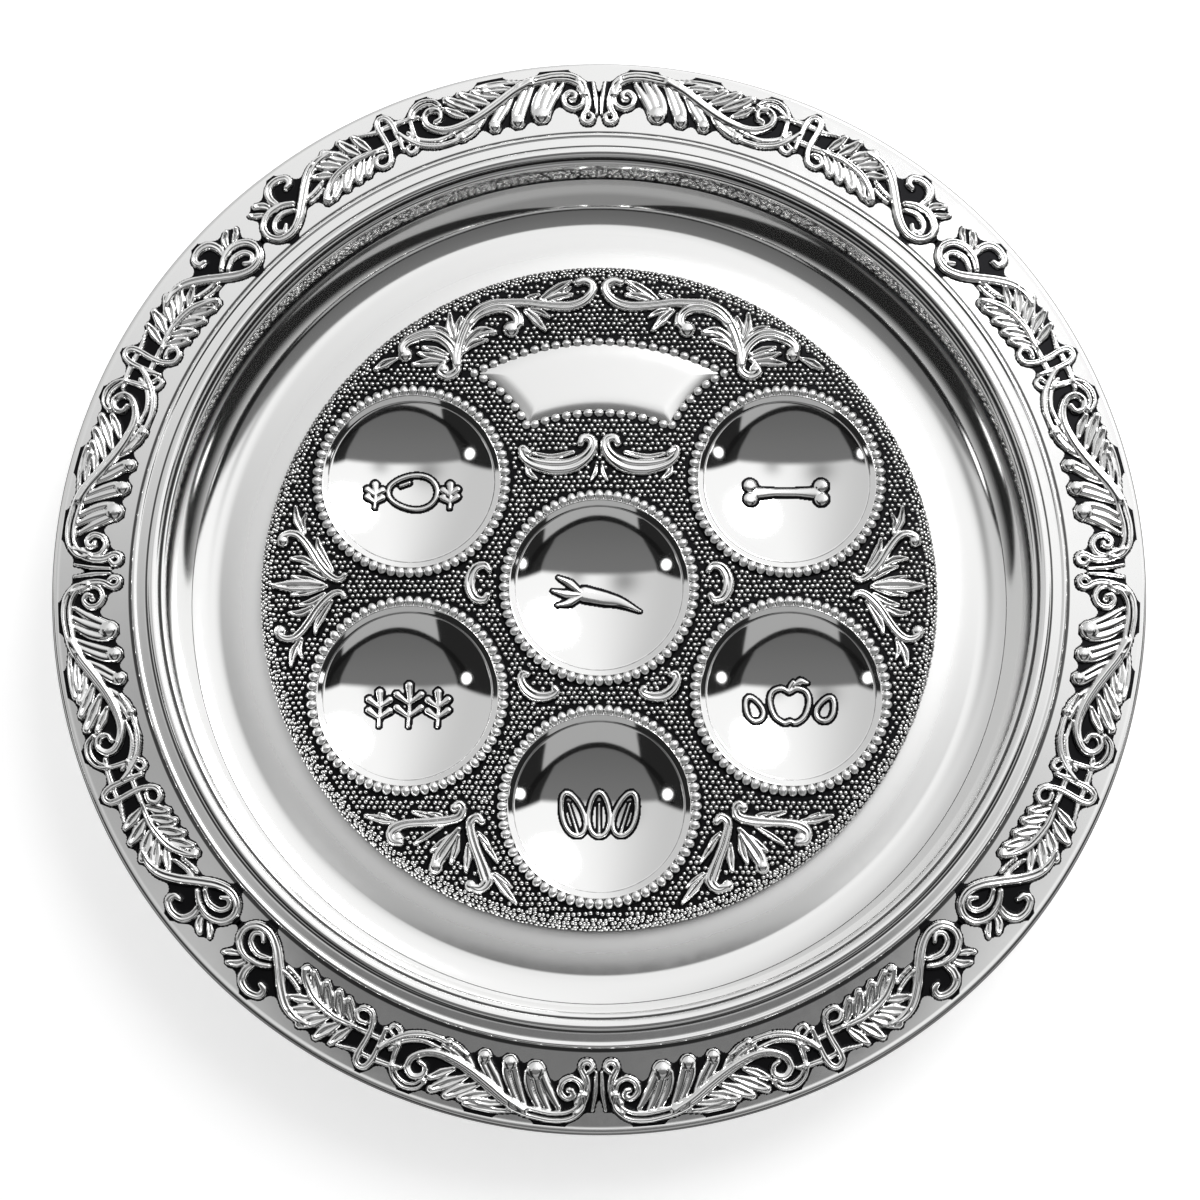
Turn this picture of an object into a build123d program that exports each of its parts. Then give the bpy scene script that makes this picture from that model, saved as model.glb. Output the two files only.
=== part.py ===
from build123d import *

import math
import os

# A round seder plate of silvered sheet, in millimetres, +Z up.
# The origin is on the table, under the middle of the floor. -Y is towards the reader.

# Six cups on a hexagon: five round the middle one, the plaque takes the sixth place
cup_mouth_radius = 34.0
cup_lip_width = 0.3
cup_lip_height = 0.75
cup_sheet = 0.6
cup_floor_gap = 0.1
cup_opening_clearance = 0.6
cup_ledge = 0.25
cup_gap = 6.7
cup_places_round = 6
first_cup_angle = 30.0

# Beaded wire on each cup's flange
bead_count = 64
bead_diameter = 3.5
bead_lift = 0.35
bead_band_width = 2.8
bead_band_height = 0.9
flange_margin = 0.4

# Raised medallion, a pressed shell that stands on the floor
medallion_height = 7.0
medallion_sheet = 0.8
medallion_margin = 3.25
shoulder_radius = 4.2

# Tray: one spun sheet with a flat floor, a wide cove, a steep wall, a flat rim and a rolled edge
sheet = 0.9
floor_band = 15.83
cove_radius = 23.5
cove_angle = 27.0
well_depth = 36.1
upper_wall_rise = 10.0
lower_wall_lean = 3.0
upper_wall_lean = 13.0
lip_radius = 2.0
rim_band_width = 26.15

# Rolled edge and the wire inside it
roll_diameter = 3.2
roll_drop = 1.5
roll_slit = 0.3
roll_slit_angle = -135.0
wire_diameter = 1.3
wire_clearance = 0.05

# Moulding round the mouth of the well: two reeds with a flat between them
moulding_seat = 0.2
inner_reed_width = 4.6
moulding_flat_width = 3.5
outer_reed_width = 2.1
inner_reed_height = 3.0
outer_reed_height = 2.4
moulding_inner_side = 1.2
moulding_flat_height = 1.9
moulding_outer_side = 0.6

# Cast border mounts on the rim, four alike, drawn for a band of this length and width
mount_count = 4
mount_drawn_length = 142.5
mount_drawn_width = 23.6
mount_inner_margin = 1.8
mount_outer_margin = 0.8
mount_spine_rise = 12.0
mount_spine_width = 4.0
mount_spine_length = 134.0
mount_spine_height = 0.5
mount_leaf_height = 1.5
mount_stem_height = 2.2

# Plain plaque above the middle cup, with its beaded frame
plaque_inner_gap = 31.45
plaque_end_gap = 11.85
plaque_width = 27.0
plaque_thickness = 1.0
plaque_corner = 1.2
frame_gap = 0.2
frame_band_width = 1.4
frame_band_height = 0.5
frame_bead_diameter = 2.8
frame_bead_pitch = 4.2
frame_bead_lift = 0.2

# Applied sprays and scrolls, drawn for a medallion top of this radius
ornament_drawn_radius = 124.4
ornament_height = 1.6
ornament_margin = 0.6
spray_middle_rise = 0.4
curve_steps = 3
spiral_step = 60.0

# Levels that follow from these
floor_top = sheet
medallion_top = floor_top + medallion_height
flange_top = medallion_top + cup_sheet
mouth_height = flange_top + cup_lip_height
cup_depth = medallion_height - cup_floor_gap + cup_lip_height
rim_height = floor_top + well_depth
wall_break_height = rim_height - upper_wall_rise
roll_center_height = rim_height - roll_drop

# Radii that follow from these, from the cups outwards
bead_circle_radius = cup_mouth_radius + cup_ledge + bead_diameter / 2
flange_radius = bead_circle_radius + bead_diameter / 2 + flange_margin
cup_circle_radius = 2 * flange_radius + cup_gap
plateau_radius = cup_circle_radius + flange_radius + medallion_margin
medallion_radius = plateau_radius + shoulder_radius
floor_radius = medallion_radius + floor_band
plaque_inner_radius = flange_radius + plaque_inner_gap
plaque_outer_radius = plaque_inner_radius + plaque_width
plaque_end_radius = flange_radius + plaque_end_gap

os.makedirs("parts", exist_ok=True)


def write(name, shape):
    """Save one piece under its own name and report it."""
    export_step(shape, f"parts/{name}.step")
    print(name, len(shape.solids()), round(shape.volume, 1))


def spun(*edges):
    """Turn a closed section, drawn as radius and height, about the plate's axis."""
    return revolve(Plane.XZ * make_face(list(edges)), axis=Axis.Z)


def at_angle(radius, degrees, middle=(0.0, 0.0)):
    """A point on a circle, counted from +X."""
    x = middle[0] + radius * math.cos(math.radians(degrees))
    y = middle[1] + radius * math.sin(math.radians(degrees))
    return (x, y)


def lean_out(start, height, lean):
    """The point where a wall that leans outwards from start reaches a height."""
    return (start[0] + (height - start[1]) * math.tan(math.radians(lean)), height)


def bend(middle, radius, start_angle, end_angle):
    """An arc about a middle, with its two ends."""
    start = at_angle(radius, start_angle, middle)
    half = at_angle(radius, (start_angle + end_angle) / 2, middle)
    end = at_angle(radius, end_angle, middle)
    return ThreePointArc(start, half, end), start, end


# Tray, its wire and the moulding

cove_middle = (floor_radius, floor_top + cove_radius)
wall_foot = at_angle(cove_radius, cove_angle - 90.0, cove_middle)
wall_break = lean_out(wall_foot, wall_break_height, lower_wall_lean)
lip_rise = lip_radius * (1 - math.sin(math.radians(upper_wall_lean)))
lip_foot = lean_out(wall_break, rim_height - lip_rise, upper_wall_lean)
rim_inner_radius = lip_foot[0] + lip_radius * math.cos(math.radians(upper_wall_lean))
lip_middle = (rim_inner_radius, rim_height - lip_radius)

moulding_inner_radius = rim_inner_radius + moulding_seat
flat_inner_radius = moulding_inner_radius + inner_reed_width
flat_outer_radius = flat_inner_radius + moulding_flat_width
moulding_outer_radius = flat_outer_radius + outer_reed_width
band_outer_radius = moulding_outer_radius + rim_band_width
roll_center_radius = band_outer_radius + roll_diameter / 2
plate_diameter = 2 * roll_center_radius + roll_diameter


def make_tray():
    """The spun sheet: floor, cove, wall, rim and the roll round its wire."""
    lip_angle = 180.0 - upper_wall_lean
    cove_end = cove_angle - 90.0
    cove, floor_edge, cove_top = bend(cove_middle, cove_radius, -90.0, cove_end)
    under_cove, under_edge, under_top = bend(cove_middle, cove_radius + sheet, -90.0, cove_end)
    lip, lip_start, lip_end = bend(lip_middle, lip_radius, lip_angle, 90.0)
    under_lip, under_lip_start, under_lip_end = bend(lip_middle, lip_radius - sheet, lip_angle, 90.0)
    under_break = (wall_break[0] + sheet, wall_break[1])
    heel_run = wall_foot[0] + sheet - under_top[0]
    heel = (under_top[0] + heel_run, under_top[1] + heel_run * math.tan(math.radians(cove_angle)))
    body = spun(
        Line((0, floor_top), floor_edge),
        cove,
        Polyline(cove_top, wall_break, lip_start),
        lip,
        Polyline(
            lip_end,
            (roll_center_radius, rim_height),
            (roll_center_radius, rim_height - sheet),
            under_lip_end,
        ),
        under_lip,
        Polyline(under_lip_start, under_break, heel, under_top),
        under_cove,
        Polyline(under_edge, (0, 0), (0, floor_top)),
    )
    place = Pos(roll_center_radius, roll_center_height)
    slit_length = roll_diameter / 2
    slit = Rot(0, 0, roll_slit_angle) * Pos(slit_length / 2, 0) * Rectangle(slit_length, roll_slit)
    bore = Circle(wire_diameter / 2 + wire_clearance)
    roll = revolve(Plane.XZ * (place * Circle(roll_diameter / 2)), axis=Axis.Z)
    room = revolve(Plane.XZ * (place * (bore + slit)), axis=Axis.Z)
    return body + roll - room


def make_edge_wire():
    """The round wire that stiffens the rolled edge."""
    section = Pos(roll_center_radius, roll_center_height) * Circle(wire_diameter / 2)
    return revolve(Plane.XZ * section, axis=Axis.Z)


def make_moulding():
    """Two reeds and a flat in one drawn ring, seated on the rim just outside the well."""
    foot = (moulding_inner_radius, rim_height)
    inner_side = (moulding_inner_radius, rim_height + moulding_inner_side)
    inner_crest = (moulding_inner_radius + inner_reed_width / 2, rim_height + inner_reed_height)
    flat_start = (flat_inner_radius, rim_height + moulding_flat_height)
    flat_end = (flat_outer_radius, rim_height + moulding_flat_height)
    outer_crest = (flat_outer_radius + outer_reed_width / 2, rim_height + outer_reed_height)
    outer_side = (moulding_outer_radius, rim_height + moulding_outer_side)
    return spun(
        Line(foot, inner_side),
        ThreePointArc(inner_side, inner_crest, flat_start),
        Line(flat_start, flat_end),
        ThreePointArc(flat_end, outer_crest, outer_side),
        Polyline(outer_side, (moulding_outer_radius, rim_height), foot),
    )


# Medallion, cups and bead rings


def cup_places():
    """Each cup's name and the middle of its circle."""
    order = {"upper_right": 0, "upper_left": 2, "lower_left": 3, "bottom": 4, "lower_right": 5}
    step = 360.0 / cup_places_round
    places = {"center": (0.0, 0.0)}
    for name, index in order.items():
        places[name] = at_angle(cup_circle_radius, first_cup_angle + index * step)
    return places


def make_medallion():
    """A pressed disc with a rounded shoulder, standing on its skirt, with six openings."""
    middle = (plateau_radius, medallion_top - shoulder_radius)
    inner_radius = shoulder_radius - medallion_sheet
    shoulder, shoulder_top, shoulder_foot = bend(middle, shoulder_radius, 90.0, 0.0)
    inner_shoulder, inner_top, inner_foot = bend(middle, inner_radius, 90.0, 0.0)
    shell = spun(
        Line((0, medallion_top), shoulder_top),
        shoulder,
        Polyline(
            shoulder_foot, (shoulder_foot[0], floor_top), (inner_foot[0], floor_top), inner_foot
        ),
        inner_shoulder,
        Polyline(inner_top, (0, inner_top[1]), (0, medallion_top)),
    )
    hole = Cylinder(cup_mouth_radius + cup_opening_clearance, 2 * medallion_height)
    return shell - [Pos(x, y, medallion_top) * hole for x, y in cup_places().values()]


def make_cup():
    """A shallow spun bowl with a low lip and a flat flange that lies on the medallion."""
    ball = (cup_mouth_radius**2 + cup_depth**2) / (2 * cup_depth)
    middle = (0.0, mouth_height - cup_depth + ball)
    inner_rise = -math.degrees(math.asin((middle[1] - mouth_height) / ball))
    outer_rise = -math.degrees(math.asin((middle[1] - medallion_top) / (ball + cup_sheet)))
    inside, bottom, mouth = bend(middle, ball, -90.0, inner_rise)
    outside, under, neck = bend(middle, ball + cup_sheet, -90.0, outer_rise)
    lip_outer = cup_mouth_radius + cup_lip_width
    return spun(
        inside,
        Polyline(
            mouth,
            (lip_outer, mouth_height),
            (lip_outer, flange_top),
            (flange_radius, flange_top),
            (flange_radius, medallion_top),
            neck,
        ),
        outside,
        Line(under, bottom),
    )


def bead(diameter, lift):
    """A bead cut flat where it sits, its seat at height 0."""
    ball = Pos(0, 0, lift) * Sphere(diameter / 2)
    return split(ball, bisect_by=Plane.XY, keep=Keep.TOP)


def make_bead_ring():
    """A beaded wire: a narrow band with a row of beads round it."""
    outer = Circle(bead_circle_radius + bead_band_width / 2)
    inner = Circle(bead_circle_radius - bead_band_width / 2)
    band = extrude(outer - inner, amount=bead_band_height)
    drop = bead(bead_diameter, bead_lift)
    return band + [place * drop for place in PolarLocations(bead_circle_radius, bead_count)]


# Plaque and its frame


def plaque_outline(grow):
    """The plaque's shape, grown by a margin: a piece of a ring cut back by the two upper cups."""
    ring = Circle(plaque_outer_radius + grow) - Circle(plaque_inner_radius - grow)
    sides = (cup_places()["upper_left"], cup_places()["upper_right"])
    cuts = [Pos(x, y) * Circle(plaque_end_radius - grow) for x, y in sides]
    pieces = (ring - cuts).faces()
    return Sketch() + pieces.sort_by(Axis.Y)[-1]


def make_plaque():
    """The bare plaque with softly rounded corners."""
    plate = extrude(plaque_outline(0.0), amount=plaque_thickness)
    plate = fillet(plate.edges().filter_by(Axis.Z), plaque_corner)
    return Pos(0, 0, medallion_top) * plate


def make_plaque_frame():
    """A beaded wire bent round the plaque."""
    inner = plaque_outline(frame_gap)
    outer = plaque_outline(frame_gap + frame_band_width)
    band = extrude(outer - inner, amount=frame_band_height)
    line = plaque_outline(frame_gap + frame_band_width / 2).faces()[0].outer_wire()
    count = round(line.length / frame_bead_pitch)
    drop = bead(frame_bead_diameter, frame_bead_lift)
    beads = [Pos(*line.position_at(i / count)) * drop for i in range(count)]
    room = extrude(inner, amount=frame_bead_diameter)
    return Pos(0, 0, medallion_top) * (band + beads - room)


# Ornament drawn as flat shapes


def ribbon(points, start_width, end_width):
    """A tapering band along a smooth curve, round at both ends."""
    spine = Spline(*points)
    steps = curve_steps * (len(points) - 1)
    lefts, rights = [], []
    for step in range(steps + 1):
        share = step / steps
        along = spine.tangent_at(share)
        half = (start_width + (end_width - start_width) * share) / 2
        across = Vector(-along.Y, along.X) * half
        lefts.append(spine.position_at(share) + across)
        rights.append(spine.position_at(share) - across)
    start = spine.position_at(0) - spine.tangent_at(0) * start_width / 2
    end = spine.position_at(1) + spine.tangent_at(1) * end_width / 2
    return make_face(
        [
            Spline(*lefts),
            ThreePointArc(lefts[-1], end, rights[-1]),
            Spline(*reversed(rights)),
            ThreePointArc(rights[0], start, lefts[0]),
        ]
    )


def leaf(base, tip, width):
    """A lens-shaped leaf from its base to its tip."""
    low, high = Vector(*base), Vector(*tip)
    along = (high - low).normalized()
    across = Vector(-along.Y, along.X) * (width / 2)
    middle = (low + high) / 2
    return make_face(
        [ThreePointArc(low, middle + across, high), ThreePointArc(high, middle - across, low)]
    )


def spiral(middle, start_radius, end_radius, start_angle, turn):
    """Points of a volute that winds in from its start angle through a turn, both in degrees."""
    steps = math.ceil(abs(turn) / spiral_step)
    points = []
    for step in range(steps + 1):
        share = step / steps
        radius = start_radius + (end_radius - start_radius) * share
        points.append(at_angle(radius, start_angle + turn * share, middle))
    return points


# Border mounts

mount_inner_radius = moulding_outer_radius + mount_inner_margin
mount_outer_radius = band_outer_radius - mount_outer_margin
mount_scale = (mount_outer_radius - mount_inner_radius) / mount_drawn_width
mount_half_angle = 180.0 / mount_count


def border_stems():
    """Stems of half a border mount: points as arc from its middle and rise, and two widths."""
    return [
        ([(4.5, 3.1), (3.2, 6.6), (3.4, 12.6), (6, 18.6), (13, 21.8), (22, 20.6), (34, 16.1),
          (46, 10.4), (57, 8.2), (65, 10.6), (67, 15.1), (63, 17.2), (60.5, 14.6)], 2.6, 1.8),
        ([(1.0, 3.6), (1.0, 17.6)], 1.8, 1.8),
        (spiral((10, 12.2), 5.4, 1.2, 100, 470), 2.2, 1.2),
        ([(46, 6.1), (56, 3.8), (66, 4.8), (73, 8.1), (78, 12.6), (84, 11.6), (96, 12.2),
          (112, 7.1)], 2.0, 1.8),
        ([(77, 5.6), (79, 13.6), (80.5, 21.1), (84, 21.1), (84.5, 13.6), (85.5, 6.1), (91, 4.6)],
         2.0, 1.6),
        ([(69, 15.1), (80, 15.1), (92, 16.1)], 2.0, 1.4),
        ([(100, 16.1), (111, 17.6), (119, 14.1), (127, 8.1), (133, 4.0)], 2.2, 2.0),
        (spiral((133.2, 7.9), 5.2, 1.2, 170, -430), 2.4, 1.2),
        ([(127, 11.6), (131, 17.6), (127.5, 21.6), (122.5, 19.6)], 2.2, 1.6),
        ([(131.5, 12.6), (135.5, 18.1)], 2.6, 2.0),
    ]


def border_leaves():
    """Leaves of half a border mount: base, tip and width."""
    return [
        ((12.5, 21.6), (24, 3.6), 6.0),
        ((26, 19.6), (33, 2.2), 4.4),
        ((32, 16.6), (43, 2.2), 4.6),
        ((41, 12.6), (51, 2.4), 4.4),
        ((24, 20.1), (45, 23.0), 3.0),
        ((36, 15.6), (57, 22.2), 4.6),
        ((44, 11.6), (60, 17.1), 3.4),
        ((57, 17.6), (71, 19.1), 3.4),
        ((88, 12.1), (99, 21.2), 4.6),
        ((96, 12.1), (107, 21.4), 4.6),
        ((103, 10.6), (114, 18.6), 4.2),
        ((90, 11.6), (99, 3.0), 4.6),
        ((97, 11.6), (107, 2.4), 4.6),
        ((104, 10.6), (116, 2.0), 4.4),
    ]


def on_border(point, side):
    """A point of a half mount on the plan, with the mount's middle on +Y."""
    arc, rise = point
    angle = 90.0 + side * mount_half_angle * arc / mount_drawn_length
    return at_angle(mount_inner_radius + rise * mount_scale, angle)


def border_spine():
    """The narrow strip that joins a mount's two halves, a piece of a flat ring."""
    inner = mount_inner_radius + (mount_spine_rise - mount_spine_width / 2) * mount_scale
    outer = inner + mount_spine_width * mount_scale
    half = mount_half_angle * mount_spine_length / mount_drawn_length
    return make_face(
        [
            CenterArc((0, 0), outer, 90.0 - half, 2 * half),
            Line(at_angle(outer, 90.0 + half), at_angle(inner, 90.0 + half)),
            CenterArc((0, 0), inner, 90.0 - half, 2 * half),
            Line(at_angle(inner, 90.0 - half), at_angle(outer, 90.0 - half)),
        ]
    )


def make_border_mount():
    """A cast border mount: stems and leaves on a thin strip, its two halves mirrored."""
    stems, leaves = Sketch(), Sketch()
    for side in (-1, 1):
        for points, start_width, end_width in border_stems():
            stems += ribbon([on_border(point, side) for point in points], start_width, end_width)
        for base, tip, width in border_leaves():
            leaves += leaf(on_border(base, side), on_border(tip, side), width)
    reach = Circle(mount_outer_radius) - Circle(mount_inner_radius)
    low = extrude(border_spine(), amount=mount_spine_height)
    middle = extrude(leaves & reach, amount=mount_leaf_height)
    high = extrude(stems & reach, amount=mount_stem_height)
    return Pos(0, 0, rim_height) * (low + middle + high)


# Sprays and scrolls of the medallion's left half


def garland():
    """The acanthus garland from the top middle to the upper cup."""
    stems = [
        ([(-8, 120.5), (-4.5, 123), (-2, 118.5), (-5, 112.5), (-14, 111.5), (-26, 113), (-38, 112.2),
          (-47, 108), (-51.5, 100), (-53.5, 90)], 2.2, 3.4),
        ([(-36, 111.5), (-31, 107), (-33.5, 101.5)], 3.0, 3.6),
        ([(-54.5, 88), (-57, 95), (-63, 101), (-71, 102), (-76, 97.5), (-74, 93)], 3.4, 2.6),
        ([(-54.5, 89), (-56, 84.5), (-60, 83.5)], 3.0, 2.4),
    ]
    leaves = [
        ((-24, 112.5), (-10, 121), 4.0),
        ((-34, 112.5), (-20, 103.5), 4.2),
        ((-53, 96), (-59.5, 108.5), 3.2),
        ((-53, 96), (-53.5, 108), 3.0),
        ((-52, 96), (-40, 101), 3.4),
        ((-57, 92), (-70, 94), 4.0),
        ((-74, 93), (-87, 87), 3.2),
    ]
    return stems, leaves


def side_spray():
    """The fan of leaves and two curled stems at the side, alike above and below its middle."""
    stems = []
    leaves = [((-96.5, spray_middle_rise), (-123.5, spray_middle_rise), 4.0)]
    for side in (-1, 1):

        def off_middle(x, y):
            """A point beside the spray's middle line."""
            return (x, spray_middle_rise + side * y)

        rise = [(-96.5, 0), (-98, 4.5), (-103.5, 5), (-109.5, 12), (-115.5, 19), (-120, 18)]
        stems.append(([off_middle(x, y) for x, y in rise], 2.8, 2.6))
        leaves.append((off_middle(-101.5, 4), off_middle(-117, 9.5), 3.6))
        leaves.append((off_middle(-113, 17), off_middle(-117, 28), 3.2))
    return stems, leaves


def lower_spray():
    """Two curled stems and a drooping leaf between the lower and bottom cups."""
    stems = [
        ([(-51, -83), (-55.5, -86), (-66, -88), (-75, -90.5), (-78.5, -94), (-75, -96.5)], 3.0, 2.4),
        ([(-45, -87), (-47.5, -91), (-45.5, -98), (-42.5, -105), (-41.5, -111), (-45.5, -114)],
         3.0, 2.4),
        ([(-51, -83), (-48.5, -86), (-46.5, -90)], 2.6, 2.6),
    ]
    leaves = [
        ((-49, -87), (-61.5, -105), 5.4),
        ((-49, -87), (-64, -96.5), 4.2),
        ((-48.5, -87), (-52.5, -104), 4.0),
        ((-74, -89.5), (-87, -85.5), 3.0),
        ((-43, -104), (-31.5, -117), 3.2),
    ]
    return stems, leaves


def cradle_scroll():
    """The C-scroll under the plaque."""
    stems = [
        ([(-29, 55.5), (-28.5, 51.5), (-22, 48.6), (-14, 48.4), (-6.5, 51.5), (-3.2, 56), (-6.5, 58)],
         2.6, 2.2),
    ]
    return stems, [((-27, 50.5), (-25, 42.5), 2.8)]


def middle_curl():
    """The small C-scroll beside the middle cup."""
    return [([(-43, 6.2), (-46, 7.2), (-48.6, 3.5), (-48.8, -1), (-46, -5), (-43, -4)], 2.2, 2.2)], []


def lower_curl():
    """The small C-scroll between the middle and bottom cups."""
    return [([(-26.5, -33.5), (-26, -38.5), (-21.5, -41.8), (-15.5, -41), (-17, -38)], 2.6, 2.2)], []


def make_ornament(design):
    """An applied ornament of the left half, on top of the medallion, clear of what stands there."""
    stems, leaves = design
    shape = Sketch()
    for points, start_width, end_width in stems:
        shape += ribbon(points, start_width, end_width)
    for base, tip, width in leaves:
        shape += leaf(base, tip, width)
    shape = scale(shape, by=plateau_radius / ornament_drawn_radius)
    frame_reach = frame_gap + frame_band_width + frame_bead_diameter / 2
    taken = [Pos(x, y) * Circle(flange_radius + ornament_margin) for x, y in cup_places().values()]
    taken.append(plaque_outline(frame_reach + ornament_margin))
    shape = (shape & Circle(plateau_radius - ornament_margin)) - taken
    return Pos(0, 0, medallion_top) * extrude(shape, amount=ornament_height)


print("plate diameter", round(plate_diameter, 2), "rim height", round(rim_height, 2))

write("tray", make_tray())
write("edge_wire", make_edge_wire())
write("well_moulding", make_moulding())

border_mount = make_border_mount()
for index, side in enumerate(("north", "west", "south", "east")):
    write(f"border_mount_{side}", Rot(0, 0, index * 360.0 / mount_count) * border_mount)

write("medallion", make_medallion())
cup = make_cup()
bead_ring = make_bead_ring()
for name, (x, y) in cup_places().items():
    write(f"cup_{name}", Pos(x, y) * cup)
    write(f"bead_ring_{name}", Pos(x, y, flange_top) * bead_ring)

write("plaque", make_plaque())
write("plaque_frame", make_plaque_frame())

ornaments = {
    "garland": garland(),
    "side_spray": side_spray(),
    "lower_spray": lower_spray(),
    "cradle_scroll": cradle_scroll(),
    "middle_curl": middle_curl(),
    "lower_curl": lower_curl(),
}
for name, design in ornaments.items():
    left = make_ornament(design)
    write(f"{name}_left", left)
    write(f"{name}_right", mirror(left, about=Plane.YZ))
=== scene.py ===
"""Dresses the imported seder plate: polished silver, darkened relief, beaded wires and stipple."""

import logging
import math
from dataclasses import dataclass, field
from enum import Enum
from typing import Callable, Sequence

import bpy
import numpy as np
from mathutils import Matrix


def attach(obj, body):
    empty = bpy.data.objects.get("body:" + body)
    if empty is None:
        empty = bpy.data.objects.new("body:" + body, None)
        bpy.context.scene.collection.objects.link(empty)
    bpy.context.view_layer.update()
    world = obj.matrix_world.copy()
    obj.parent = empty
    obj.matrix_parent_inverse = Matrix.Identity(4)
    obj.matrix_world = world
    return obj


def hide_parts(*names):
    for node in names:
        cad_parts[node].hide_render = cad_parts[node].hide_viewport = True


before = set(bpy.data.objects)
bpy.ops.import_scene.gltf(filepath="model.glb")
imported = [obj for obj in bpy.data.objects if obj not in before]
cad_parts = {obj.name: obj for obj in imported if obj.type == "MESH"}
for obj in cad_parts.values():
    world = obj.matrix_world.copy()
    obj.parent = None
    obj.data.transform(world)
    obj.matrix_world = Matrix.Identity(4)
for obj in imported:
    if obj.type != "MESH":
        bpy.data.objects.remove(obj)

MM = 0.001
BODY = "root"

Point = tuple[float, float]
Color = tuple[float, float, float]
Range = tuple[float, float, float, float]
Mesh = tuple[np.ndarray, list[tuple[int, ...]]]
Socket = bpy.types.NodeSocket

log = logging.getLogger("seder_plate")


class Slot(Enum):
    """The record's material slots, by name."""

    POLISHED = "polished_silver"
    RELIEF = "relief_silver"


class Attribute(Enum):
    """Values that a mesh carries for its material."""

    # The darkening that a material reads: oxide in recesses, and painted shade in the cups' creases and on
    # the medallion's edge.
    OXIDE_AND_SHADE = "oxide"
    FACING = "facing"


# Node building


class Graph:
    """A small helper that adds nodes to a tree and links them."""

    def __init__(self, tree: bpy.types.NodeTree) -> None:
        """Clear the tree that the graph fills.

        Args:
            tree: A shader, world or geometry node tree.
        """
        self.tree = tree
        tree.nodes.clear()

    def add(self, kind: str, inputs: dict | None = None, **settings) -> bpy.types.Node:
        """Add a node, set its properties and fill or link its inputs.

        Args:
            kind: The node's type name.
            inputs: Input name or index, with a value or an output socket to link.
            **settings: Properties of the node itself.

        Returns:
            The new node.
        """
        node = self.tree.nodes.new(kind)
        for name, value in settings.items():
            setattr(node, name, value)
        for key, value in (inputs or {}).items():
            if isinstance(value, Socket):
                self.tree.links.new(value, node.inputs[key])
            else:
                node.inputs[key].default_value = value
        return node

    def math(self, operation: str, first: object, second: object = 0.0) -> Socket:
        """Combine two values.

        Args:
            operation: The math node's operation.
            first: A number or an output socket.
            second: A number or an output socket.

        Returns:
            The result's socket.
        """
        node = self.add("ShaderNodeMath", {0: first, 1: second}, operation=operation)
        return node.outputs[0]

    def apart(self, first: object, second: object) -> Socket:
        """How far apart two values are."""
        return self.math("ABSOLUTE", self.math("SUBTRACT", first, second))

    def squares(self, first: object, second: object) -> Socket:
        """The sum of two squares."""
        return self.math("ADD", self.math("POWER", first, 2.0), self.math("POWER", second, 2.0))

    def ramp(self, value: object, low: object, high: object, start: float = 0.0, end: float = 1.0) -> Socket:
        """Ease a value from one range to another.

        Args:
            value: The value to map.
            low: Where the ease begins.
            high: Where it ends.
            start: The result at low.
            end: The result at high.

        Returns:
            The result's socket.
        """
        node = self.add(
            "ShaderNodeMapRange",
            {"Value": value, "From Min": low, "From Max": high, "To Min": start, "To Max": end},
            interpolation_type="SMOOTHSTEP",
        )
        return node.outputs[0]

    def blend(self, share: object, first: object, second: object) -> Socket:
        """Mix two values.

        Args:
            share: How much of the second value there is.
            first: The value at 0.
            second: The value at 1.

        Returns:
            The result's socket.
        """
        node = self.add("ShaderNodeMix", {0: share, 2: first, 3: second}, data_type="FLOAT")
        return node.outputs[0]

    def blend_color(self, share: object, first: object, second: object) -> Socket:
        """Mix two colours.

        Args:
            share: How much of the second colour there is.
            first: The colour at 0.
            second: The colour at 1.

        Returns:
            The result's socket.
        """
        node = self.add("ShaderNodeMix", {0: share, 6: first, 7: second}, data_type="RGBA")
        return node.outputs[2]


def group_tree(name: str, sockets: Sequence[tuple[str, str, str]]) -> tuple[bpy.types.NodeTree, Graph]:
    """Start a shader node group.

    Args:
        name: The group's name.
        sockets: Each socket's name, INPUT or OUTPUT, and socket type.

    Returns:
        The group and a graph that fills it.
    """
    tree = bpy.data.node_groups.new(name, "ShaderNodeTree")
    for label, way, kind in sockets:
        tree.interface.new_socket(label, in_out=way, socket_type=kind)
    return tree, Graph(tree)


def polish_group() -> bpy.types.NodeTree:
    """Fine wiping marks and hazy patches that a polishing cloth leaves on silver.

    Returns:
        A group with a roughness and a height.
    """
    tree, graph = group_tree(
        "polish_marks",
        [
            ("Gloss", "INPUT", "NodeSocketFloat"),
            ("Haze", "INPUT", "NodeSocketFloat"),
            ("Scale", "INPUT", "NodeSocketFloat"),
            ("Roughness", "OUTPUT", "NodeSocketFloat"),
            ("Height", "OUTPUT", "NodeSocketFloat"),
        ],
    )
    patch_share = 0.06
    given = graph.add("NodeGroupInput").outputs
    place = graph.add("ShaderNodeTexCoord").outputs["Object"]
    fine = graph.add("ShaderNodeTexNoise", {"Vector": place, "Scale": given["Scale"], "Detail": 6.0})
    patch_scale = graph.math("MULTIPLY", given["Scale"], patch_share)
    patch = graph.add("ShaderNodeTexNoise", {"Vector": place, "Scale": patch_scale, "Detail": 3.0})
    marks = graph.math("MULTIPLY", fine.outputs["Fac"], patch.outputs["Fac"])
    roughness = graph.math("ADD", given["Gloss"], graph.math("MULTIPLY", marks, given["Haze"]))
    graph.add("NodeGroupOutput", {"Roughness": roughness, "Height": fine.outputs["Fac"]})
    return tree


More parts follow.
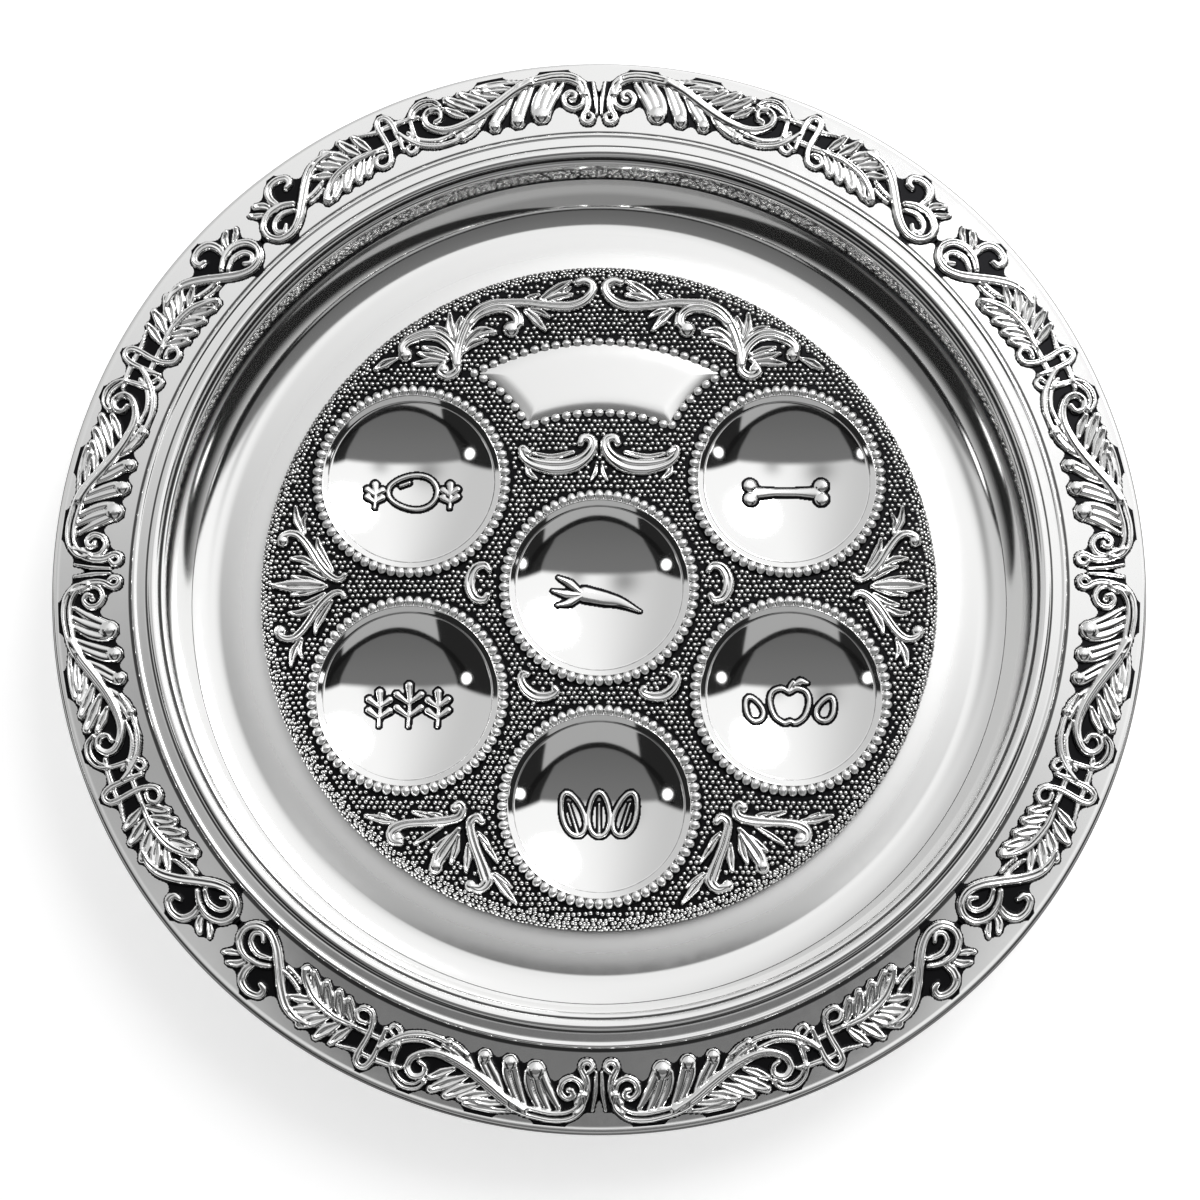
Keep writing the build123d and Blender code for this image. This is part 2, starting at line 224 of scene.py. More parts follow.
def oxide_and_shade_group() -> bpy.types.NodeTree:
    """Darkening that stays in the low places and is rubbed off the high ones: oxide, and painted shade on the
    cups' creases and the medallion's edge.

    Returns:
        A group with a mask of the darkening.
    """
    tree, graph = group_tree(
        "oxide_and_shade_in_recesses",
        [
            ("Depth", "INPUT", "NodeSocketFloat"),
            ("Amount", "INPUT", "NodeSocketFloat"),
            ("Mask", "OUTPUT", "NodeSocketFloat"),
        ],
    )
    wear_scale, wear_reach = 420.0, 0.35
    bright_to, dark_from = 0.25, 0.7
    given = graph.add("NodeGroupInput").outputs
    place = graph.add("ShaderNodeTexCoord").outputs["Object"]
    worn = graph.add("ShaderNodeTexNoise", {"Vector": place, "Scale": wear_scale, "Detail": 4.0})
    shift = graph.math("MULTIPLY", graph.math("SUBTRACT", worn.outputs["Fac"], 0.5), wear_reach)
    depth = graph.math("ADD", given["Depth"], shift)
    mask = graph.math("MULTIPLY", graph.ramp(depth, bright_to, dark_from), given["Amount"])
    graph.add("NodeGroupOutput", {"Mask": mask})
    return tree


@dataclass(frozen=True)
class Finish:
    """What every metal of the plate has: a colour, a gloss and the marks of polishing."""

    name: str
    color: Color = (0.93, 0.93, 0.925)
    gloss: float = 0.05
    haze: float = 0.12
    mark_scale: float = 260.0

    def started(self, polish: bpy.types.NodeTree) -> tuple[bpy.types.Material, Graph, bpy.types.Node]:
        """Start the material with its polishing marks.

        Args:
            polish: The group of polishing marks.

        Returns:
            The material, the graph that fills it and the node of the marks.
        """
        material = bpy.data.materials.new(self.name)
        material.use_nodes = True
        graph = Graph(material.node_tree)
        given = {"Gloss": self.gloss, "Haze": self.haze, "Scale": self.mark_scale}
        return material, graph, graph.add("ShaderNodeGroup", given, node_tree=polish)

    @staticmethod
    def ended(graph: Graph, inputs: dict) -> None:
        """End the material with a metal shader.

        Args:
            graph: The graph that fills the material.
            inputs: The shader's other inputs.
        """
        shader = graph.add("ShaderNodeBsdfPrincipled", {"Metallic": 1.0, **inputs})
        graph.add("ShaderNodeOutputMaterial", {"Surface": shader.outputs[0]})


@dataclass(frozen=True)
class SilverFinish(Finish):
    """Bright silver, which may be satin inside a circle, with painted shade as dark lines along round grooves
    and edges, in millimetres.
    """

    satin_radius: float = 0.0
    satin_ease: float = 14.0
    satin: float = 0.0
    shade_lines: tuple[Point, ...] = ()
    shade_line_color: Color = (0.02, 0.02, 0.02)
    shade_line_depth: float = 0.9

    def material(self, polish: bpy.types.NodeTree) -> bpy.types.Material:
        """Build the material.

        Args:
            polish: The group of polishing marks.

        Returns:
            The finished material.
        """
        material, graph, marks = self.started(polish)
        roughness, color = marks.outputs["Roughness"], (*self.color, 1.0)
        if self.satin:
            place = graph.add("ShaderNodeTexCoord").outputs["Object"]
            flat = graph.add("ShaderNodeVectorMath", {0: place, 1: (1, 1, 0)}, operation="MULTIPLY")
            length = graph.add("ShaderNodeVectorMath", {0: flat.outputs[0]}, operation="LENGTH")
            radius = length.outputs["Value"]
            full_to = (self.satin_radius - self.satin_ease) * MM
            extra = graph.ramp(radius, full_to, self.satin_radius * MM, self.satin, 0.0)
            roughness = graph.math("ADD", roughness, extra)
            # Painted shade: a dark ring at each listed groove and edge radius, standing in for the shade and
            # dark reflections there.
            for middle, half in self.shade_lines:
                away = graph.apart(radius, middle * MM)
                dark = graph.ramp(away, 0.5 * half * MM, half * MM, self.shade_line_depth, 0.0)
                color = graph.blend_color(dark, color, (*self.shade_line_color, 1.0))
        self.ended(graph, {"Base Color": color, "Roughness": roughness})
        return material


@dataclass(frozen=True)
class OxideAndShadeFinish(Finish):
    """Silver with darkened recesses and rubbed high places; the darkening is oxide, with painted shade on the
    cups' creases and the medallion's edge dots.
    """

    gloss: float = 0.1
    haze: float = 0.1
    mark_scale: float = 500.0
    dark: Color = (0.012, 0.012, 0.013)
    dark_gloss: float = 0.42
    amount: float = 1.0
    all_dark: bool = False
    bump_height: float = 0.02
    bump_strength: float = 0.15

    def material(self, polish: bpy.types.NodeTree, oxide: bpy.types.NodeTree) -> bpy.types.Material:
        """Build the material.

        Args:
            polish: The group of polishing marks.
            oxide: The group of darkening.

        Returns:
            The finished material.
        """
        material, graph, marks = self.started(polish)
        depth = 1.0
        if not self.all_dark:
            depth = graph.add("ShaderNodeAttribute", attribute_name=Attribute.OXIDE_AND_SHADE.value).outputs["Fac"]
        recess = graph.add("ShaderNodeGroup", {"Depth": depth, "Amount": self.amount}, node_tree=oxide)
        mask = recess.outputs["Mask"]
        bump = graph.add(
            "ShaderNodeBump",
            {
                "Height": marks.outputs["Height"],
                "Distance": self.bump_height * MM,
                "Strength": self.bump_strength,
            },
        )
        self.ended(
            graph,
            {
                "Base Color": graph.blend_color(mask, (*self.color, 1.0), (*self.dark, 1.0)),
                "Roughness": graph.blend(mask, marks.outputs["Roughness"], self.dark_gloss),
                "Normal": bump.outputs["Normal"],
            },
        )
        return material


class Finishes:
    """Every material of the plate, made once."""

    def __init__(self) -> None:
        """Build the shared groups and the materials that use them."""
        polish = polish_group()
        oxide = oxide_and_shade_group()
        # The tray's dark rings at these radii are painted shade in its grooves and on the roll's outer edge.
        self.tray = SilverFinish(
            "tray_silver", satin_radius=144.6, satin=0.32,
            shade_lines=((160.3, 0.55), (164.9, 0.55), (171.2, 0.85), (199.8, 0.6)),
        ).material(polish)
        self.bead = OxideAndShadeFinish("bead_silver", gloss=0.3).material(polish, oxide)
        # The cups' darkening is oxide under the beads and painted shade along the crease.
        self.cup = OxideAndShadeFinish(
            "cup_silver", gloss=0.04, haze=0.06, mark_scale=260.0
        ).material(polish, oxide)
        self.plaque = SilverFinish("plaque_silver", gloss=0.14, haze=0.12).material(polish)
        self.relief = OxideAndShadeFinish("relief_silver_darkened").material(polish, oxide)
        self.ground = OxideAndShadeFinish("stipple_ground", all_dark=True).material(polish, oxide)
        self.wire = SilverFinish(
            "drawn_steel", color=(0.55, 0.55, 0.56), gloss=0.25, haze=0.2, mark_scale=900.0
        ).material(polish)


# Meshes


def new_piece(name: str, mesh: Mesh, material: bpy.types.Material) -> bpy.types.Object:
    """Make a smooth object from points in millimetres and let it ride on the plate.

    Args:
        name: The piece's name.
        mesh: Points and faces.
        material: Its finish.

    Returns:
        The new object.
    """
    points, faces = mesh
    data = bpy.data.meshes.new(name)
    data.from_pydata((points * MM).tolist(), [], faces)
    data.update()
    data.shade_smooth()
    data.materials.append(material)
    piece = bpy.data.objects.new(name, data)
    bpy.context.scene.collection.objects.link(piece)
    settle(piece)
    return piece


def settle(piece: bpy.types.Object, replaced: Sequence[str] = ()) -> None:
    """Let a piece ride on the plate and the CAD nodes that it stands for.

    Args:
        piece: The finished piece.
        replaced: CAD nodes that it replaces.
    """
    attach(piece, BODY)
    if replaced:
        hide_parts(*replaced)
    log.info("%s: %d faces", piece.name, len(piece.data.polygons))


def set_oxide_and_shade(piece: bpy.types.Object, values: np.ndarray) -> None:
    """Store how dark each point of a piece is: oxide in recesses, and painted shade in the cups' creases and
    on the medallion's edge.

    Args:
        piece: The piece.
        values: One value for each point, 0 on the high places and 1 in the recesses and the painted shade.
    """
    layer = piece.data.attributes.new(Attribute.OXIDE_AND_SHADE.value, "FLOAT", "POINT")
    layer.data.foreach_set("value", np.ascontiguousarray(values, dtype=np.float32))


def arc_points(middle: Point, radius: float, start: float, end: float, count: int) -> list[Point]:
    """Points on an arc, with its two ends.

    Args:
        middle: The arc's centre.
        radius: Its radius.
        start: Its first angle in degrees, from the first axis.
        end: Its last angle.
        count: How many points.

    Returns:
        The points in order.
    """
    angles = np.radians(np.linspace(start, end, count))
    return [(middle[0] + radius * math.cos(a), middle[1] + radius * math.sin(a)) for a in angles]


def lathe(profile: Sequence[Point], segments: int, middle: Point = (0.0, 0.0)) -> Mesh:
    """Turn a profile about an upright axis. Ends on the axis are closed with a fan.

    Args:
        profile: Radius and height, so that the outside lies to the right of the way it runs.
        segments: Steps round the axis.
        middle: Where the axis stands.

    Returns:
        The points and faces of the turned shape.
    """
    angles = np.linspace(0, 2 * math.pi, segments, endpoint=False)
    points: list[tuple[float, float, float]] = []
    rows: list[list[int]] = []
    for radius, height in profile:
        if radius < 1e-6:
            rows.append([len(points)] * segments)
            points.append((middle[0], middle[1], height))
            continue
        rows.append(list(range(len(points), len(points) + segments)))
        points += [
            (middle[0] + radius * math.cos(a), middle[1] + radius * math.sin(a), height) for a in angles
        ]
    faces: list[tuple[int, ...]] = []
    loop = rows if rows[0][0] == rows[0][1] else rows + rows[:1]
    for low, high in zip(loop, loop[1:]):
        for i in range(segments):
            j = (i + 1) % segments
            face = tuple(dict.fromkeys((low[i], low[j], high[j], high[i])))
            if len(face) > 2:
                faces.append(face)
    return np.array(points), faces


def eased(points: Sequence[Point], cut: float) -> list[Point]:
    """A line through corners, with each corner cut by a small chamfer.

    Args:
        points: The corners.
        cut: The chamfer's length along each side.

    Returns:
        The points in order.
    """
    result = [points[0]]
    for before, corner, after in zip(points, points[1:], points[2:]):
        for other, steps in ((before, (2 * cut, cut)), (after, (cut, 2 * cut))):
            run = math.dist(corner, other)
            result += [
                tuple(c + (o - c) * step / run for c, o in zip(corner, other)) for step in steps
            ]
    return [*result, points[-1]]


def smooth_path(points: Sequence[Point], per_span: int = 7) -> np.ndarray:
    """A smooth curve through points.

    Args:
        points: The points it passes through.
        per_span: Steps between two of them.

    Returns:
        The curve's own points.
    """
    given = np.array(points, float)
    ends = np.vstack([2 * given[0] - given[1], given, 2 * given[-1] - given[-2]])
    share = np.linspace(0, 1, per_span, endpoint=False)[:, None]
    spans = []
    for a, b, c, d in zip(ends, ends[1:], ends[2:], ends[3:]):
        bend = (2 * a - 5 * b + 4 * c - d) * share**2 + (3 * b - a - 3 * c + d) * share**3
        spans.append(0.5 * (2 * b + (c - a) * share + bend))
    return np.vstack([*spans, given[-1:]])


@dataclass(frozen=True)
class Stroke:
    """One stem, lobe or bud of a relief: a curve with its half widths and heights, in millimetres."""

    points: Sequence[Point]
    widths: Sequence[float]
    heights: Sequence[float]
    groove: float = 0.0
    shift: float = 0.0


def stem(points: Sequence[Point], *widths: float, height: float = 2.3, shift: float = 0.0) -> Stroke:
    """A rounded stem with a groove along it, in its middle or to one side."""
    return Stroke(points, widths, (height,), 0.3, shift)


def lobe(points: Sequence[Point], *widths: float, height: float = 2.2) -> Stroke:
    """A leaf's lobe, low and narrow at its base, slit along its middle and full at its tip."""
    return Stroke(points, widths, (0.6 * height, height), 0.55)


def flute(points: Sequence[Point], *widths: float, height: float = 2.0) -> Stroke:
    """A plain rib that rises towards its tip."""
    return Stroke(points, widths, (0.7 * height, height))


def band(points: Sequence[Point], *widths: float, height: float = 2.3) -> Stroke:
    """A broad stem, hollowed along its middle between two raised edges."""
    return Stroke(points, widths, (height,), 0.85)


def bud(middle: Point, radius: float, height: float = 2.2) -> Stroke:
    """A small round boss."""
    return Stroke((middle, (middle[0] + 0.01, middle[1])), (radius,), (height,))


class Relief:
    """A relief of strokes, kept as heights over a flat grid, in millimetres.

    Attributes:
        FULLNESS: How square a stroke's section is: 2 is round.
        FADE: Shares of a stroke over which its groove begins and ends.
        GROOVE: A groove's half width, as a share of the stroke's.
        LEAST: What a groove leaves of the stroke's height.
        AROUND: How far round a place its surroundings reach.
        HOLLOW: How far below its surroundings a place is quite dark.
        BRIGHT_FROM: Height at which the metal over the ground is rubbed bright.
        RUBBED: The rise over which it turns bright.
    """

    FULLNESS = 2.4
    FADE = (0.1, 0.25)
    GROOVE = 0.27
    LEAST = 0.08
    AROUND = 0.9
    HOLLOW = 0.5
    BRIGHT_FROM = 0.95
    RUBBED = 0.6

    def __init__(
        self, strokes: Sequence[Stroke], step: float, outline: float, pocket: float, fullness: float = 1.0
    ) -> None:
        """Draw the strokes.

        Args:
            strokes: What the relief is made of.
            step: The grid's pitch.
            outline: Width of the darkened line round the strokes.
            pocket: Gaps up to twice this wide between strokes are darkened too.
            fullness: Makes every stroke wider.
        """
        paths = [smooth_path(stroke.points) for stroke in strokes]
        reach = [fullness * max(stroke.widths) for stroke in strokes]
        margin = outline + 3 * step
        self.fullness = fullness
        self.step = step
        self.low = np.min([p.min(0) - r for p, r in zip(paths, reach)], 0) - margin
        high = np.max([p.max(0) + r for p, r in zip(paths, reach)], 0) + margin
        columns, rows = np.ceil((high - self.low) / step).astype(int) + 1
        self.u, self.v = np.meshgrid(
            self.low[0] + step * np.arange(columns), self.low[1] + step * np.arange(rows)
        )
        self.height = np.zeros(self.u.shape)
        for stroke, path, width in zip(strokes, paths, reach):
            self.draw(stroke, path, width)
        self.patch = self.closed(self.height > 0.05, pocket, outline)
        self.oxide = self.recesses()

    def draw(self, stroke: Stroke, path: np.ndarray, reach: float) -> None:
        """Raise the grid where a stroke lies.

        Args:
            stroke: The stroke.
            path: Its curve.
            reach: Its greatest half width.
        """
        first = np.maximum(((path.min(0) - reach - self.low) / self.step).astype(int), 0)
        last = ((path.max(0) + reach - self.low) / self.step).astype(int) + 2
        window = (slice(first[1], last[1]), slice(first[0], last[0]))
        u, v = self.u[window], self.v[window]
        legs = np.diff(path, axis=0)
        lengths = np.maximum(np.hypot(*legs.T), 1e-6)
        starts = np.concatenate([[0.0], np.cumsum(lengths)])
        nearest = np.full(u.shape, np.inf)
        share, side = np.zeros(u.shape), np.zeros(u.shape)
        for begin, leg, length, start in zip(path, legs, lengths, starts):
            du, dv = u - begin[0], v - begin[1]
            along = np.clip((du * leg[0] + dv * leg[1]) / length**2, 0, 1)
            distance = np.hypot(du - along * leg[0], dv - along * leg[1])
            closer = distance < nearest
            nearest[closer] = distance[closer]
            share[closer] = ((start + along * length) / starts[-1])[closer]
            side[closer] = np.sign(leg[0] * dv - leg[1] * du)[closer]
        half = self.fullness * np.interp(share, np.linspace(0, 1, len(stroke.widths)), stroke.widths)
        top = np.interp(share, np.linspace(0, 1, len(stroke.heights)), stroke.heights)
        across = nearest / half
        dome = np.sqrt(np.clip(1 - across**self.FULLNESS, 0, None))
        fade = np.clip(np.minimum(share / self.FADE[0], (1 - share) / self.FADE[1]), 0, 1)
        vein = stroke.groove * fade * np.exp(-(((side * across - stroke.shift) / self.GROOVE) ** 2))
        raised = np.where(across < 1, top * np.clip(dome - vein, self.LEAST, None), 0)
        self.height[window] = np.maximum(self.height[window], raised)

    def grown(self, mask: np.ndarray, distance: float) -> np.ndarray:
        """A mask grown by a distance.

        Args:
            mask: Grid points that are in.
            distance: How far it grows.

        Returns:
            The grown mask.
        """
        cells = int(distance / self.step)
        wide = np.pad(mask, cells)
        result = mask.copy()
        rows, columns = mask.shape
        for i in range(-cells, cells + 1):
            for j in range(-cells, cells + 1):
                if i * i + j * j <= (distance / self.step) ** 2:
                    result |= wide[cells + i : cells + i + rows, cells + j : cells + j + columns]
        return result

    def closed(self, mask: np.ndarray, pocket: float, outline: float) -> np.ndarray:
        """A mask with its narrow gaps filled and a line added round it.

        Args:
            mask: Grid points that are in.
            pocket: Half the width of the gaps that are filled.
            outline: The line's width.

        Returns:
            The filled mask.
        """
        filled = ~self.grown(~self.grown(mask, pocket), pocket - outline)
        return filled | self.grown(mask, outline)

    def recesses(self) -> np.ndarray:
        """How deep each grid point lies below what stands round it.

        Returns:
            A value for each grid point, 0 on the high places and 1 in the recesses.
        """
        mean = self.height.copy()
        count = 1
        cells = max(1, int(self.AROUND / self.step))
        for i in range(-cells, cells + 1):
            for j in range(-cells, cells + 1):
                if (i, j) != (0, 0) and i * i + j * j <= cells * cells:
                    mean += np.roll(self.height, (i, j), (0, 1))
                    count += 1
        hollow = np.clip((mean / count - self.height) / self.HOLLOW, 0, 1)
        low = np.clip((self.BRIGHT_FROM - self.height) / self.RUBBED, 0, 1)
        return np.maximum(hollow, low)

    def solid(
        self, place: Callable[[np.ndarray, np.ndarray], np.ndarray], sunk: float, lifted: float, flip: bool
    ) -> tuple[Mesh, np.ndarray]:
        """A closed shell with the relief on top and a flat back.

        Args:
            place: Turns grid places into points of the surface that carries the relief.
            sunk: How deep the back lies under that surface.
            lifted: How far the darkened ground stands above it.
            flip: True where place mirrors the grid.

        Returns:
            The points and faces, and how deep each point lies in a recess.
        """
        kept = self.patch
        cells = kept[:-1, :-1] | kept[1:, :-1] | kept[:-1, 1:] | kept[1:, 1:]
        used = np.zeros(kept.shape, bool)
        for i, j in ((0, 0), (0, 1), (1, 0), (1, 1)):
            used[i : used.shape[0] - 1 + i, j : used.shape[1] - 1 + j] |= cells
        index = np.full(kept.shape, -1)
        index[used] = np.arange(used.sum())
        count = int(used.sum())
        base = place(self.u[used], self.v[used])
        rise = np.where(kept, np.maximum(self.height, lifted), -0.6 * sunk)[used]
        top = base + np.array([0, 0, 1]) * rise[:, None]
        back = base - np.array([0, 0, 1]) * sunk
        corner = (index[:-1, :-1], index[:-1, 1:], index[1:, 1:], index[1:, :-1])
        quads = np.stack([c[cells] for c in corner], 1)
        faces = np.vstack([quads, quads[:, ::-1] + count])
        sides = []
        wide = np.pad(cells, 1)
        for (row, column), (a, b) in {
            (-1, 0): (0, 1), (0, 1): (1, 2), (1, 0): (2, 3), (0, -1): (3, 0)
        }.items():
            beyond = wide[1 + row : 1 + row + cells.shape[0], 1 + column : 1 + column + cells.shape[1]]
            edge = cells & ~beyond
            first, second = corner[a][edge], corner[b][edge]
            sides.append(np.stack([second, first, first + count, second + count], 1))
        faces = np.vstack([faces, *sides])
        if flip:
            faces = faces[:, ::-1]
        deep = self.oxide[used]
        return (np.vstack([top, back]), faces.tolist()), np.concatenate([deep, np.ones(count)])


def joined(parts: Sequence[tuple[Mesh, np.ndarray]]) -> tuple[Mesh, np.ndarray]:
    """Put several shells into one.

    Args:
        parts: Meshes with their recess values.

    Returns:
        One mesh with its recess values.
    """
    points, faces, values, start = [], [], [], 0
    for (part_points, part_faces), part_values in parts:
        points.append(part_points)
        values.append(part_values)
        faces += [tuple(i + start for i in face) for face in part_faces]
        start += len(part_points)
    return (np.vstack(points), faces), np.concatenate(values)


def turned(points: np.ndarray, degrees: float) -> np.ndarray:
    """Points turned about the plate's axis.

    Args:
        points: Their places.
        degrees: How far, counter-clockwise from above.

    Returns:
        The turned points.
    """
    c, s = math.cos(math.radians(degrees)), math.sin(math.radians(degrees))
    return points @ np.array([[c, s, 0], [-s, c, 0], [0, 0, 1]])


# Sub-assemblies


@dataclass
class Levels:
    """Sizes of the plate that several pieces share, in millimetres."""

    floor_top: float = 0.9
    medallion_top: float = 7.9
    flange_top: float = 8.5
    rim: float = 37.0
    plateau_radius: float = 124.4
    shoulder_radius: float = 4.2
    cup_circle_radius: float = 83.0
    flange_radius: float = 38.15
    bead_circle_radius: float = 36.0

    def cup_places(self) -> dict[str, Point]:
        """Each cup's name and the middle of its circle."""
        order = {"upper_right": 30, "upper_left": 150, "lower_left": 210, "bottom": 270, "lower_right": 330}
        places = {"center": (0.0, 0.0)}
        for name, angle in order.items():
            places[name] = arc_points((0.0, 0.0), self.cup_circle_radius, angle, angle, 1)[0]
        return places


@dataclass
class Tray:
    """The spun tray, its wire and the reeded moulding."""

    levels: Levels
    finishes: Finishes
    sheet: float = 0.9
    cove_middle: Point = (144.43, 24.4)
    cove_radius: float = 23.5
    cove_angle: float = 27.0
    wall_break: Point = (156.332, 27.0)
    wall_ease: float = 0.12
    lip_middle: Point = (160.233, 35.0)
    lip_radius: float = 2.0
    lip_angle: float = 167.0
    roll_middle: Point = (198.383, 35.5)
    roll_radius: float = 1.6
    roll_angles: Point = (-199.0, 95.0)
    roll_root: float = 195.0
    roll_foot: tuple[Point, ...] = ((197.6, 0.05), (196.8, 0.0))
    rim_steps: tuple[float, ...] = (172.0, 160.4)
    floor_steps: tuple[float, ...] = (144.2, 143.0, 120.0, 60.0, 0.0)
    narrow_reed: tuple[Point, ...] = (
        (170.633, -0.2), (170.633, 0.6), (170.633, 0.9), (170.55, 1.45), (170.3, 1.95), (169.9, 2.18),
        (169.4, 2.22), (168.95, 2.1), (168.7, 1.93), (168.55, 1.86),
    )
    reed_flat: tuple[Point, ...] = (
        (168.4, 1.85), (167.6, 1.85), (166.0, 1.85), (165.2, 1.85), (165.05, 1.84), (164.92, 1.84),
    )
    wide_reed: tuple[Point, ...] = (
        (164.75, 2.05), (164.4, 2.4), (163.9, 2.65), (163.2, 2.77), (162.5, 2.74), (161.8, 2.56),
        (161.2, 2.22), (160.75, 1.75), (160.5, 1.3), (160.433, 0.9), (160.433, 0.3), (160.433, -0.2),
    )
    segments: int = 480

    def sheet_profile(self) -> list[Point]:
        """The sheet's section, from the middle of its underside out to the roll and back over its face.

        Returns:
            Radius and height of each point.
        """
        rim, floor = self.levels.rim, self.levels.floor_top
        cove_end = self.cove_angle - 90.0
        cove = arc_points(self.cove_middle, self.cove_radius, cove_end, -90.0, 24)
        back = arc_points(self.cove_middle, self.cove_radius + self.sheet, -90.0, cove_end, 10)
        heel_run = cove[0][0] + self.sheet - back[-1][0]
        heel = (back[-1][0] + heel_run, back[-1][1] + heel_run * math.tan(math.radians(self.cove_angle)))
        lip = arc_points(self.lip_middle, self.lip_radius, 90.0, self.lip_angle, 8)
        wall = eased([lip[-1], self.wall_break, cove[0], cove[1]], self.wall_ease)
        return [
            (0.0, 0.0),
            *back,
            heel,
            (self.wall_break[0] + self.sheet, self.wall_break[1]),
            *arc_points(self.lip_middle, self.lip_radius - self.sheet, self.lip_angle, 90.0, 5),
            (self.roll_root, rim - self.sheet),
            *arc_points(self.roll_middle, self.roll_radius, *self.roll_angles, 30),
            *((radius, rim + rise) for radius, rise in self.roll_foot),
            *((radius, rim) for radius in self.rim_steps),
            *lip[:-1],
            *wall,
            *cove[2:],
            *((radius, floor) for radius in self.floor_steps),
        ]

    def build(self) -> None:
        """Make the tray and the moulding with fine steps, and finish the wire."""
        section = (*self.narrow_reed, *self.reed_flat, *self.wide_reed)
        ring = [(radius, self.levels.rim + rise) for radius, rise in section]
        for name, profile, node in (
            ("tray_sheet", self.sheet_profile(), "tray"),
            ("well_reeds", ring, "well_moulding"),
        ):
            piece = new_piece(name, lathe(profile, self.segments), self.finishes.tray)
            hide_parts(node)
        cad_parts["edge_wire"].material_slots[0].material = self.finishes.wire


@dataclass
class BorderMounts:
    """Four cast mounts of scrolls and acanthus on the rim."""

    levels: Levels
    finishes: Finishes
    drawn_length: float = 142.5
    step: float = 0.35
    outline: float = 0.5
    pocket: float = 2.7
    fullness: float = 1.2
    sunk: float = 0.3
    ground: float = 0.04
    sides: tuple[str, ...] = ("north", "west", "south", "east")

    def strokes(self) -> list[Stroke]:
        """The relief of half a mount.

        Returns:
            Strokes whose points are arcs from the mount's middle and radii.
        """
        groups = (
            self.middle, self.drooping_leaves, self.upper_leaves, self.knot, self.acanthus, self.terminal
        )
        return [stroke for group in groups for stroke in group()]

    def middle(self) -> list[Stroke]:
        """The paired stems, the first curl and the long S-stem."""
        return [
            Stroke([(1, 178.5), (1.2, 185), (2.2, 191.5)], (0.5, 0.8, 0.5), (1.5,)),
            stem([(7.5, 192.5), (5.2, 188.5), (4.2, 184), (4.6, 180.5), (6.2, 177.6), (5.6, 175.4),
                  (3.4, 175.2), (2.4, 177.2), (3.6, 178.6)], 1.2, 1.3, 1.2, 1.2, 1.2, 1.1, 0.9),
            band([(5.5, 186.5), (6.4, 190.6), (10, 193.4), (15, 194.2), (20, 193.8), (25, 193), (29, 191.8)],
                 1.5, 1.9, 1.9, 1.8, height=2.5),
            stem([(25, 193.2), (31, 190.6), (37, 187.2), (43.5, 184), (50, 181.8), (56.5, 181),
                  (61.6, 182.2), (65.2, 185.2), (65.6, 188.8), (62.8, 191), (59.8, 189.4), (60, 186.6),
                  (62.2, 185.8)],
                 1.7, 1.7, 1.7, 1.7, 1.6, 1.5, 1.4, 1.3, 1.2, 1.1, 0.9, height=2.6, shift=0.35),
            stem([(7.6, 189.2), (5.6, 186), (6.4, 182.4), (9.6, 180.8), (12.6, 182.4), (13.2, 185.6),
                  (11, 187.8), (8.8, 186.8), (9.2, 184.8)], 0.9, 1.0, 1.0, 0.9, height=2.1),
            bud((10.2, 184.8), 1.1, 1.9),
        ]

    def drooping_leaves(self) -> list[Stroke]:
        """Fluted leaves that hang from the S-stem towards the well, each with a round end rolled over."""
        return [
            flute([(13.4, 191), (16.2, 186.8), (18.6, 182.8), (20, 180.2)], 0.9, 1.4, 1.4),
            flute([(16.6, 192), (19.4, 187.2), (21.4, 182.6), (22.3, 179.4)], 1.0, 1.5, 1.5),
            flute([(19.6, 192), (22.6, 187.4), (24.4, 183.2), (24.8, 180.2)], 0.9, 1.4, 1.4),
            bud((22.4, 179.3), 3.1, 2.8),
            flute([(24.4, 191.6), (26.8, 187), (29, 182.4), (30.4, 178.8)], 0.9, 1.3, 1.4),
            flute([(27.2, 190.6), (29.8, 186.4), (32.2, 182), (33, 178.8)], 0.9, 1.3, 1.4),
            bud((31.8, 178.1), 2.6, 2.8),
            flute([(32.4, 188.2), (35.2, 184), (38.2, 180.4), (39.8, 178.4)], 0.8, 1.2, 1.2),
            flute([(35.8, 186.4), (38.6, 183), (41.2, 180), (42.2, 178.4)], 0.8, 1.2, 1.2),
            bud((41, 177.7), 2.3, 2.7),
            flute([(43, 183), (46.6, 179.8), (51, 177.2), (54.6, 176.2)], 0.7, 1.2, 1.3, 1.1),
            flute([(47.4, 181.2), (51.6, 178.9), (56.4, 177.6)], 0.6, 1.0, 0.8),
            bud((54.4, 176.4), 1.5, 2.4),
        ]

    def upper_leaves(self) -> list[Stroke]:
        """Serrated leaves above the S-stem and the arch over its curl."""
        return [
            lobe([(28, 194), (34, 194.8), (40, 195), (44, 194.8)], 0.6, 1.0, 0.9, height=1.7),
            lobe([(31.6, 191.8), (37, 192.8), (42, 192.8)], 0.8, 1.4, 1.0, height=1.9),
            lobe([(36.4, 189.6), (41, 191), (45.8, 193.4)], 0.8, 1.6, 1.2, height=2.0),
            lobe([(41.2, 187.4), (46, 190.4), (50.6, 193.8)], 0.9, 1.9, 1.3, height=2.2),
            lobe([(45.6, 185.8), (50.8, 189.4), (55.8, 193.2)], 0.9, 2.0, 1.4, height=2.3),
            lobe([(50.4, 184.4), (54, 186.8), (57.2, 189.6)], 0.8, 1.6, 1.1, height=2.1),
            band([(59, 191.6), (61, 194), (64.4, 194.8), (68, 193.4), (70.4, 190.6)], 1.2, 1.5, 1.2,
                 height=2.0),
        ]

